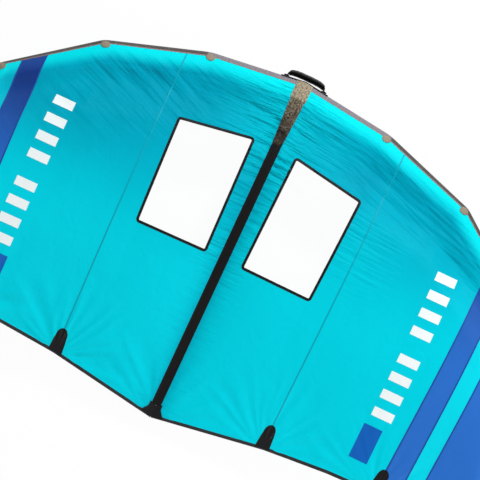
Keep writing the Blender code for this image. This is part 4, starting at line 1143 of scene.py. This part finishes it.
def build_band():
    """The centre band with its middle ridge, and the fan-shaped patch at its end."""
    start, rear = front_back(0), hem_line(0) - HEM - FAN_HEIGHT

    def spot(a, b):
        back = between(start - BAND_LAP, rear + 0.012, b)
        return (a - 0.5) * 2 * band_edge(back), back

    def where(a, b):
        span, back = spot(a, b)
        layer = BAND_LAYER if back < BAND_DOUBLED_TO else 0.0
        return on_front(span, back, BAND_LIFT + layer + RIDGE * math.exp(-((span / RIDGE_WIDTH) ** 2)))

    band = net("centre_band_tape", 16, 170, where, spot, BAND, thickness=0.0010)
    settle(band, "wing", "tape_black", "centre_band")
    cloth_area(band)

    def fan_spot(a, b):
        back = between(rear, hem_line(0) - HEM * 0.3, b)
        span = (a - 0.5) * between(FAN_TOP_WIDTH, FAN_WIDTH, step_up(0.25, 1.0, b))
        dip = FAN_DIP * (1 - abs(a - 0.5) * 2) * (1 - b)
        return span, back + dip + (hem_line(span) - hem_line(0)) * b

    fan = laid("centre_fan", 18, 14, fan_spot, FAN_LIFT, POCKET_BLACK, thickness=PATCH_LAYER)
    settle(fan, "wing", "tape_black", "centre_trailing_patch")
    cloth_area(fan)


def tube_axis(point):
    """The middle of the leading-edge tube abreast of a point."""
    station = blend_station(min(abs(point.x), LE[-1].centre.x))
    centre = set_down(station.centre)
    return Vector((math.copysign(centre.x, point.x), centre.y, centre.z))


# Rings this far from a joint of the tube, in metres, and evenly between the last of them
RINGS_NEAR_JOINT = (0.0, 0.006, 0.014, 0.03, 0.07)
EVEN_RINGS = 8
DOME_RINGS = 12
PINCH = 0.0016
SEAM_PINCH = 0.0012
PINCH_LENGTH = 0.010
# The clearance that keeps the two halves of the tube apart at the middle
TUBE_GAP = 0.0004


def tube_rings():
    """Rings of the smooth tube: close together at its joints, where it is pinched, and a domed end."""
    rings = []
    for a, b in zip(LE, LE[1:]):
        length = (b.centre - a.centre).length
        near = [distance / length for distance in RINGS_NEAR_JOINT]
        even = [between(near[-1], 1 - near[-1], k / EVEN_RINGS) for k in range(1, EVEN_RINGS)]
        for share in near + even + [1 - s for s in near[:0:-1]]:
            pinch = PINCH * math.exp(-((min(share, 1 - share) * length / PINCH_LENGTH) ** 2))
            station = mix_stations(a, b, share)
            rings.append(station._replace(radius=station.radius - pinch))
    tip = LE[-1]
    along = tip.ahead.cross(tip.up)
    for k in range(DOME_RINGS + 1):
        share = math.sin(k / DOME_RINGS * math.pi / 2)
        radius = tip.radius * max(0.002, (1 - share**2.4)) ** 0.5
        centre = tip.centre + along * (TIP_END_LENGTH * share + 0.0002)
        rings.append(tip._replace(centre=centre, radius=radius))
    first = rings[0]
    rings[0] = first._replace(centre=first.centre + Vector((TUBE_GAP, 0, 0)))
    return rings


# Places along the seam at a joint of the tube
JOINT_SHIFTS = (-0.011, -0.006, 0.0, 0.006, 0.011)


def build_tube(side, name):
    rings = tube_rings()
    rows = len(rings) - 1
    lengths = running_length([ring.centre for ring in rings])

    def where(a, b):
        k = round(b * rows)
        angle = math.tau * a
        here = Vector((math.cos(angle) * 2.0, math.sin(angle) * 2.0, lengths[k] * 5.0))
        return on_tube(side, rings[k], angle, 0.0004 * noise.noise(here))

    def unwrap(a, b):
        k = round(b * rows)
        return a * math.tau * rings[k].radius, lengths[k]

    tube = net(f"{name}_air_tube", 56, rows, where, unwrap, PAINTED_BRIGHT_CASING_CYAN, inside=tube_axis, thickness=0.0010,
               offset=-1.0, merge=True)
    settle(tube, "wing", "casing_cyan", *(f"{name}_leading_casing_{i}" for i in range(1, 5)))

    for number in range(1, 5):
        here = LE[number]
        stations = []
        for shift in JOINT_SHIFTS:
            other = LE[number + (1 if shift > 0 else -1)]
            length = (other.centre - here.centre).length
            stations.append(mix_stations(here, other, abs(shift) / length) if shift else here)

        def ring_where(a, b):
            k = round(b * 4)
            pinch = SEAM_PINCH * math.exp(-((JOINT_SHIFTS[k] / PINCH_LENGTH) ** 2))
            return on_tube(side, stations[k], math.tau * a, 0.0006 - pinch)

        joint = net(f"{name}_tube_joint_{number}", 72, 4, ring_where,
                    lambda a, b: (JOINT_SHIFTS[round(b * 4)], a * math.tau * here.radius), JOINT_CYAN,
                    inside=tube_axis, thickness=0.0007, merge=True)
        settle(joint, "wing", "casing_cyan")


# The tube's radius where the scuff strip ends, on the way round the closed tip
SCUFF_END_RADIUS = 0.046


def build_scuff(side, name):
    """The scuff strip along the front of the tube, with a narrow binding on its upper edge."""
    stations = [station for station in tube_rings() if station.radius > SCUFF_END_RADIUS][:-1]
    lengths = running_length([station.centre for station in stations])
    rows = len(stations) - 1
    for part, look, columns, low, high, low_lift, high_lift, nodes in (
        ("scuff", SCUFF, 16, SCUFF_LOW, SCUFF_HIGH, 0.0018, 0.0021, [f"{name}_scuff_strip"]),
        ("binding", BINDING, 3, BINDING_LOW, BINDING_HIGH, 0.0034, 0.0037, []),
    ):
        def where(a, b):
            lift = between(low_lift, high_lift, math.sin(math.pi * a))
            return on_tube(side, stations[round(b * rows)], between(low, high, a), lift)

        def unwrap(a, b):
            row = round(b * rows)
            return (a - 0.5) * (high - low) * stations[row].radius, lengths[row]

        piece = net(f"{name}_{part}", columns, rows, where, unwrap, look, inside=tube_axis)
        settle(piece, "wing", "scuff_grey", *nodes)


DOT_LIFT = 0.0056
DOT_EDGE_FALL = 0.0007


def build_dots(side, name):
    for number in (1, 2, 3):
        here = LE[number]

        def where(a, b):
            turn = math.tau * a
            reach = DOT_DIAMETER / 2 * b
            angle = DOT_ANGLE + reach * math.sin(turn) / here.radius
            along = reach * math.cos(turn)
            other = LE[number + (1 if along > 0 else -1)]
            lift = DOT_LIFT - DOT_EDGE_FALL * b**6
            start, end = tube_point(here, angle, lift), tube_point(other, angle, lift)
            return mirror(set_down(start + (end - start).normalized() * abs(along)), side)

        dot = net(f"{name}_dot_{number}", 40, 10, where, lambda a, b: (b * DOT_DIAMETER / 2, a * 0.15),
                  DOT_KHAKI, inside=tube_axis, thickness=0.0011, merge=True)
        settle(dot, "wing", "patch_khaki", f"{name}_joint_dot_{number}")


# The nose wrap and the front handle's patch: width, angles round the tube, lift and thickness
NOSE_WRAP = (NOSE_WIDTH, SCUFF_LOW, math.radians(88), 0.0036, 0.0010)
HANDLE_SEAT = (0.260, math.radians(-36), math.radians(18), 0.0050, 0.0012)


def build_nose():
    for name, node_name, slot, look, columns, rows, (width, low, high, lift, thickness) in (
        ("nose_scuff", "nose_wrap", "patch_khaki", KHAKI, 16, 40, NOSE_WRAP),
        ("nose_handle_seat", "nose_handle_patch", "tape_black", TAPE_BLACK, 40, 14, HANDLE_SEAT),
    ):
        def where(a, b):
            span = (a - 0.5) * width
            angle = between(low, high, b)
            return on_tube(-1 if span < 0 else 1, blend_station(span), angle, lift + lap_lift(angle))

        def unwrap(a, b):
            return (a - 0.5) * width, between(low, high, b) * LE_RADIUS

        piece = net(name, columns, rows, where, unwrap, look, inside=tube_axis, thickness=thickness)
        settle(piece, "wing", slot, node_name)


def strut_station(back):
    share = (back - STRUT_FRONT) / (CHORD - STRUT_FRONT)
    radius = between(STRUT_RADIUS, STRUT_END_RADIUS, max(0.0, share) ** 2)
    return Vector((0, -back, canopy_rise(0, back) - GAP - radius)), radius


def strut_point(back, angle, clearance):
    """Angle 0 is the bottom of the strut."""
    centre, radius = strut_station(back)
    return set_down(centre + Vector((math.sin(angle), 0, -math.cos(angle))) * (radius + clearance))


def strut_axis(point):
    return set_down(strut_station(FRONT_Y - point.y)[0])


# Rows of the CAD's canopy along the middle, whose edges the strut and its keel end at
CENTRE_ROWS = [front_back(0) + (hem_line(0) - HEM - GAP - front_back(0)) * row / 14 for row in range(15)]
STRUT_CLOTH_FRONT = 0.142
STRUT_BACK_END = CENTRE_ROWS[12]
KEEL_FRONT = CENTRE_ROWS[2]
KEEL_REAR = CENTRE_ROWS[9]
KEEL_LIFT = 0.0006
# The strut's cloth is pulled in at its rear end, and lies a little lower where the canopy rests on it
STRUT_END_PULL = 0.004
STRUT_HUG = 0.0004
CAP_INSET = 0.0050
CAP_DEPTH = 0.009
CAP_LAP = 0.004


def build_strut():
    start, end = STRUT_CLOTH_FRONT, STRUT_BACK_END

    def where(a, b):
        back = between(start, end, b)
        here = Vector((math.sin(math.tau * a) * 2, math.cos(math.tau * a) * 2, back * 14))
        pull = -STRUT_END_PULL * step_up(0.012, 0.0, end - back)
        hug = 0.0 if abs(a - 0.5) > 0.1 else -STRUT_HUG
        return strut_point(back, math.tau * a, 0.0007 * noise.noise(here) + pull + hug)

    tube = net("strut_tube", 48, 64, where, lambda a, b: ((a - 0.5) * 0.33, between(start, end, b)),
               STRUT_BLACK, inside=strut_axis, thickness=0.0010, offset=-1.0, merge=True)
    settle(tube, "wing", "strut_black", "strut_casing")

    def cap_where(a, b):
        share = math.sin(b * math.pi / 2)
        back = end - CAP_LAP + CAP_DEPTH * math.sqrt(max(0.0, 1 - share**2))
        centre, radius = strut_station(end)
        arm = Vector((math.sin(math.tau * a), 0, -math.cos(math.tau * a))) * (radius - CAP_INSET) * share
        return set_down(Vector((0, -back, centre.z)) + arm)

    cap = net("strut_cap", 48, 12, cap_where, lambda a, b: (b * 0.035, a * 0.2), CAP_BLACK,
              inside=lambda p: p + Vector((0, 0.1, 0)), thickness=PATCH_LAYER, merge=True)
    settle(cap, "wing", "tape_black", "strut_end_cap")

    def keel_where(a, b):
        lift = KEEL_LIFT + 0.0006 * (1 - abs(2 * a - 1) ** 8)
        return strut_point(between(KEEL_FRONT, KEEL_REAR, b), between(-math.pi / 4, math.pi / 4, a), lift)

    keel = net("strut_keel", 14, 70, keel_where,
               lambda a, b: ((a - 0.5) * 0.085, between(KEEL_FRONT, KEEL_REAR, b)), KEEL_BLACK,
               inside=strut_axis, thickness=0.0010)
    settle(keel, "wing", "tape_black", "strut_keel_patch")


def handle_path(middle, along, outward, half, steps):
    """Places along a handle with its cross directions: a flat-topped arch between the roots."""
    wide = along.cross(outward)
    raw = []
    for k in range(steps + 1):
        turn = math.pi * k / steps
        across, out = -math.cos(turn), math.sin(turn)
        x = math.copysign(abs(across) ** HANDLE_SQUARENESS, across) * half
        raw.append(middle + along * x + outward * (HANDLE_REACH * max(0.0, out) ** HANDLE_SQUARENESS))
    path = []
    for i, point in enumerate(raw):
        run = (raw[min(i + 1, steps)] - raw[max(i - 1, 0)]).normalized()
        path.append((point, wide, run.cross(wide)))
    return path, running_length(raw)


def sleeve(name, path, lengths, section, around, look):
    """A closed tube along a path. section gives the place across and outwards from the turn and the row."""
    rows = len(path) - 1

    def where(a, b):
        k = round(b * rows)
        point, wide, out = path[k]
        u, v = section(math.tau * a, k / rows)
        return point + wide * u + out * v

    def unwrap(a, b):
        return section(math.tau * a, 0.5)[0], lengths[round(b * rows)]

    def middle(p):
        return min((place[0] for place in path), key=lambda q: (q - p).length)

    piece = net(name, around, rows, where, unwrap, look, inside=middle, thickness=0, merge=True)
    close(piece, bpy.ops.mesh.edge_face_add)
    return piece


# The share of its width that the webbing keeps at a root, and how round its edges are: 1 is an oval
ROOT_FOLD = 0.26
STRAP_ROUNDING = 0.35


def strap_section(turn, share):
    """Flat webbing with rounded edges, folded narrow at its roots."""
    c, s = math.cos(turn), math.sin(turn)
    fold = between(ROOT_FOLD, 1.0, step_up(0.0, 0.10, min(share, 1 - share)))
    wide = math.copysign(abs(c) ** STRAP_ROUNDING, c) * STRAP_WIDTH * fold / 2
    return wide, math.copysign(abs(s) ** STRAP_ROUNDING, s) * STRAP_THICKNESS / 2


GRIP_WIDTH = 0.040
GRIP_THICKNESS = 0.0235
GRIP_SEAM = 0.0012
GRIP_RIBS = 0.022


def grip_section(turn, share):
    """A foam grip: oval, pulled in at both ends, with a sewn ridge along its inner side."""
    pull = min(1.0, math.sin(math.pi * min(1.0, max(0.0, share)) * 0.998 + 0.003)) ** 0.28
    c, s = math.cos(turn), math.sin(turn)
    wide = 0.5 * GRIP_WIDTH * (0.72 + 0.28 * pull) * c
    thick = 0.5 * GRIP_THICKNESS * (0.45 + 0.55 * pull) * s
    ribs = 1 + GRIP_RIBS * math.sin(share * math.pi * 16) * step_up(0.08, 0.2, min(share, 1 - share))
    ridge = GRIP_SEAM * math.exp(-(((math.atan2(s, c) + math.pi / 2) / 0.14) ** 2))
    return wide * ribs, thick * ribs - ridge


HANDLE_STEPS = 96
GRIP_STEPS = slice(17, 80)
TAB_LENGTH = 0.030
TAB_WIDTH = 0.027
TAB_HUMP = 0.0052
TAB_SINK = 0.0036


def build_handle(name, start, finish, outward):
    along = (finish - start).normalized()
    half = (finish - start).length / 2
    path, lengths = handle_path((start + finish) / 2, along, outward, half, HANDLE_STEPS)
    strap = sleeve(f"{name}_webbing", path, lengths, strap_section, 20, WEBBING)
    settle(strap, name, "webbing_black", f"{name}_strap")
    grip = sleeve(f"{name}_grip", path[GRIP_STEPS], lengths[GRIP_STEPS], grip_section, 40, GRIP)
    settle(grip, name, "pad_black", f"{name}_pad")
    wide = along.cross(outward)
    # A folded tab of webbing holds each root down, and the strap swings in it
    for number, root in enumerate((start, finish), 1):
        def where(a, b):
            hump = TAB_HUMP * math.exp(-(((b - 0.5) / 0.20) ** 2))
            here = root + along * (b - 0.5) * TAB_LENGTH + wide * (a - 0.5) * TAB_WIDTH
            return here + outward * (hump - TAB_SINK)

        tab = net(f"{name}_tab_{number}", 6, 22, where, lambda a, b: ((a - 0.5) * TAB_WIDTH, b * TAB_LENGTH),
                  WEBBING, inside=lambda p: p - outward, thickness=0.0010)
        settle(tab, "wing", "webbing_black")


def strut_bottom(back):
    """A place under the strut's keel, which is straight between the CAD's rows."""
    rises = [centre.z - radius for centre, radius in map(strut_station, CENTRE_ROWS)]
    return Vector((0, -back, read_line(CENTRE_ROWS, rises, back) - GAP - PATCH_THICKNESS))


def build_handles():
    stand = Vector((0, 0, ROOT_SPACE + STRAP_ROOT))
    for name, back in (("front_handle", FRONT_HANDLE_BACK), ("rear_handle", REAR_HANDLE_BACK)):
        shifts = (STRUT_HANDLE_SPAN / 2, -STRUT_HANDLE_SPAN / 2)
        start, finish = (set_down(strut_bottom(back + shift) - stand) for shift in shifts)
        along = (finish - start).normalized()
        down = Vector((0, 0, -1))
        build_handle(name, start, finish, (down - along * down.dot(along)).normalized())
    layers = 3 * GAP + 3 * PATCH_THICKNESS + ROOT_SPACE + STRAP_ROOT * 0.75
    root = blend_station(NOSE_HANDLE_SPAN / 2)
    right = (tube_point(root, math.radians(-18), layers) + tube_point(root, 0.0, layers)) / 2
    outward = Vector((0, math.cos(NOSE_HANDLE_DROOP), -math.sin(NOSE_HANDLE_DROOP)))
    build_handle("nose_handle", set_down(mirror(right, -1)), set_down(right), outward)


LEASH_HALF_WIDTH = 0.010
LEASH_RING = 0.0130
LEASH_NECK = 0.012
LEASH_DROP = 0.034
LEASH_STEPS = 40
# The legs' distance from the middle and their depth where they are sewn in, where they cross
LEASH_CROSS = 0.0005
LEASH_TOP = 0.002


def build_leash_loop():
    """A loop of webbing: two legs from one root that open into a ring."""
    front, rear = (strut_bottom(LEASH_BACK + shift) for shift in (-LEASH_HALF_WIDTH, LEASH_HALF_WIDTH))
    spread = math.acos(LEASH_NECK / LEASH_DROP)
    points = [(LEASH_CROSS, -LEASH_TOP)]
    for k in range(LEASH_STEPS + 1):
        turn = between(-(math.pi - spread), math.pi - spread, k / LEASH_STEPS)
        points.append((LEASH_RING * math.sin(turn), -LEASH_DROP - LEASH_RING * math.cos(turn)))
    points.append((-LEASH_CROSS, -LEASH_TOP))
    rows = len(points) - 1
    lengths = running_length(points)

    def where(a, b):
        x, z = points[round(b * rows)]
        return set_down(front.lerp(rear, a) + Vector((x, 0, z - ROOT_SPACE - LEASH_TOP)))

    hang = set_down(front.lerp(rear, 0.5) + Vector((0, 0, -LEASH_DROP)))
    loop = net("leash_webbing", 6, rows, where, lambda a, b: ((a - 0.5) * 0.02, lengths[round(b * rows)]),
               WEBBING, inside=lambda p: Vector((hang.x, p.y, hang.z)), thickness=0.0018)
    settle(loop, "leash", "webbing_black", "leash_loop")


# Camera, straight above the canopy, turned as the photograph is
VIEW_CENTRE = Vector((0.0356, 0.0559, 0.16))
VIEW_UP = Vector((-0.4218, 0.9066, 0.0))
VIEW_RIGHT = Vector((0.9066, 0.4218, 0))
VIEW_WIDTH = 2.5437
CAMERA_HEIGHT = 14.0
SENSOR = 36.0
# Lamps: metres right and up in the picture, height, size and power in watts
LAMPS = (
    ("key light", 3.0, 4.6, 3.9, 1.2, 390.0),
    ("fill light", 0.6, -4.8, 3.0, 3.0, 140.0),
    ("back light", 3.5, -3.5, 4.0, 4.0, 40.0),
)
FLOOR_WHITE = 0.95
SKY = (0.95, 0.98, 1.0, 1.0)
SKY_STRENGTH = 0.34


def look_from(obj, place, target, up):
    back = (place - target).normalized()
    side = up.cross(back).normalized()
    turn = Matrix((side, back.cross(side), back)).transposed().to_4x4()
    obj.matrix_world = Matrix.Translation(place) @ turn


def add_object(name, data):
    obj = bpy.data.objects.new(name, data)
    bpy.context.collection.objects.link(obj)
    return obj


def build_camera():
    lens = bpy.data.cameras.new("camera")
    lens.sensor_width = SENSOR
    lens.lens = SENSOR * CAMERA_HEIGHT / VIEW_WIDTH
    lens.clip_end = 100.0
    camera = add_object("camera", lens)
    look_from(camera, VIEW_CENTRE + Vector((0, 0, CAMERA_HEIGHT)), VIEW_CENTRE, VIEW_UP)
    bpy.context.scene.camera = camera


def build_lights():
    for name, right, up, height, size, power in LAMPS:
        lamp = bpy.data.lights.new(name, "AREA")
        lamp.shape = "DISK"
        lamp.size = size
        lamp.energy = power
        place = VIEW_UP * up + VIEW_RIGHT * right + Vector((0, 0, height))
        look_from(add_object(name, lamp), place, Vector((0, 0, 0.1)), Vector((0, 0, 1)))


def show_white(look, shader, white_share, end):
    """Shows white to the camera, gloss and clear film, with a share left of the shader's light and shadow."""
    path = node(look, "LightPath", out=None)
    seen = maths(look, "MAXIMUM", maths(look, "MAXIMUM", path[0], path[3]), path[6])
    seen = maths(look, "MULTIPLY", seen, white_share)
    white = node(look, "Emission", {0: (1, 1, 1, 1), 1: 1.0})
    mixed = node(look, "MixShader", {0: seen, 1: shader, 2: white})
    look.node_tree.links.new(mixed, look.node_tree.nodes[end].inputs["Surface"])


def build_surroundings():
    clear_selection()
    bpy.ops.mesh.primitive_plane_add(size=60.0, location=(0, 0, -0.0005))
    floor = bpy.context.object
    floor.name = floor.data.name = "floor"
    look, surface = start_look("matt white paint", Roughness=0.9, Specular_IOR_Level=0.1)
    grain = cloudy(look, node(look, "TexCoord", out=3), 30.0, Detail=3.0)
    look.node_tree.links.new(blend(look, grain, "#F2F2F1", "#F6F6F5"), surface.inputs["Base Color"])
    show_white(look, surface.outputs[0], FLOOR_WHITE, "Material Output")
    floor.data.materials.append(look)

    world = bpy.data.worlds.new("studio")
    bpy.context.scene.world = world
    world.use_nodes = True
    background = world.node_tree.nodes["Background"]
    background.inputs[0].default_value = SKY
    background.inputs[1].default_value = SKY_STRENGTH
    show_white(world, background.outputs[0], 1.0, "World Output")


def dress_hard_parts():
    for look, names in HARD_LOOKS:
        for name in names:
            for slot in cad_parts[name].material_slots:
                slot.material = look


SIDES = ((1, "right"), (-1, "left"))

build_camera()
for each in SIDES:
    build_tube(*each)
build_strut()
for each in SIDES:
    build_canopy(*each)
build_band()
for each in SIDES:
    build_scuff(*each)
for each in SIDES:
    build_dots(*each)
build_nose()
build_handles()
build_leash_loop()
dress_hard_parts()
build_lights()
build_surroundings()
bpy.context.scene.view_settings.view_transform = "Standard"
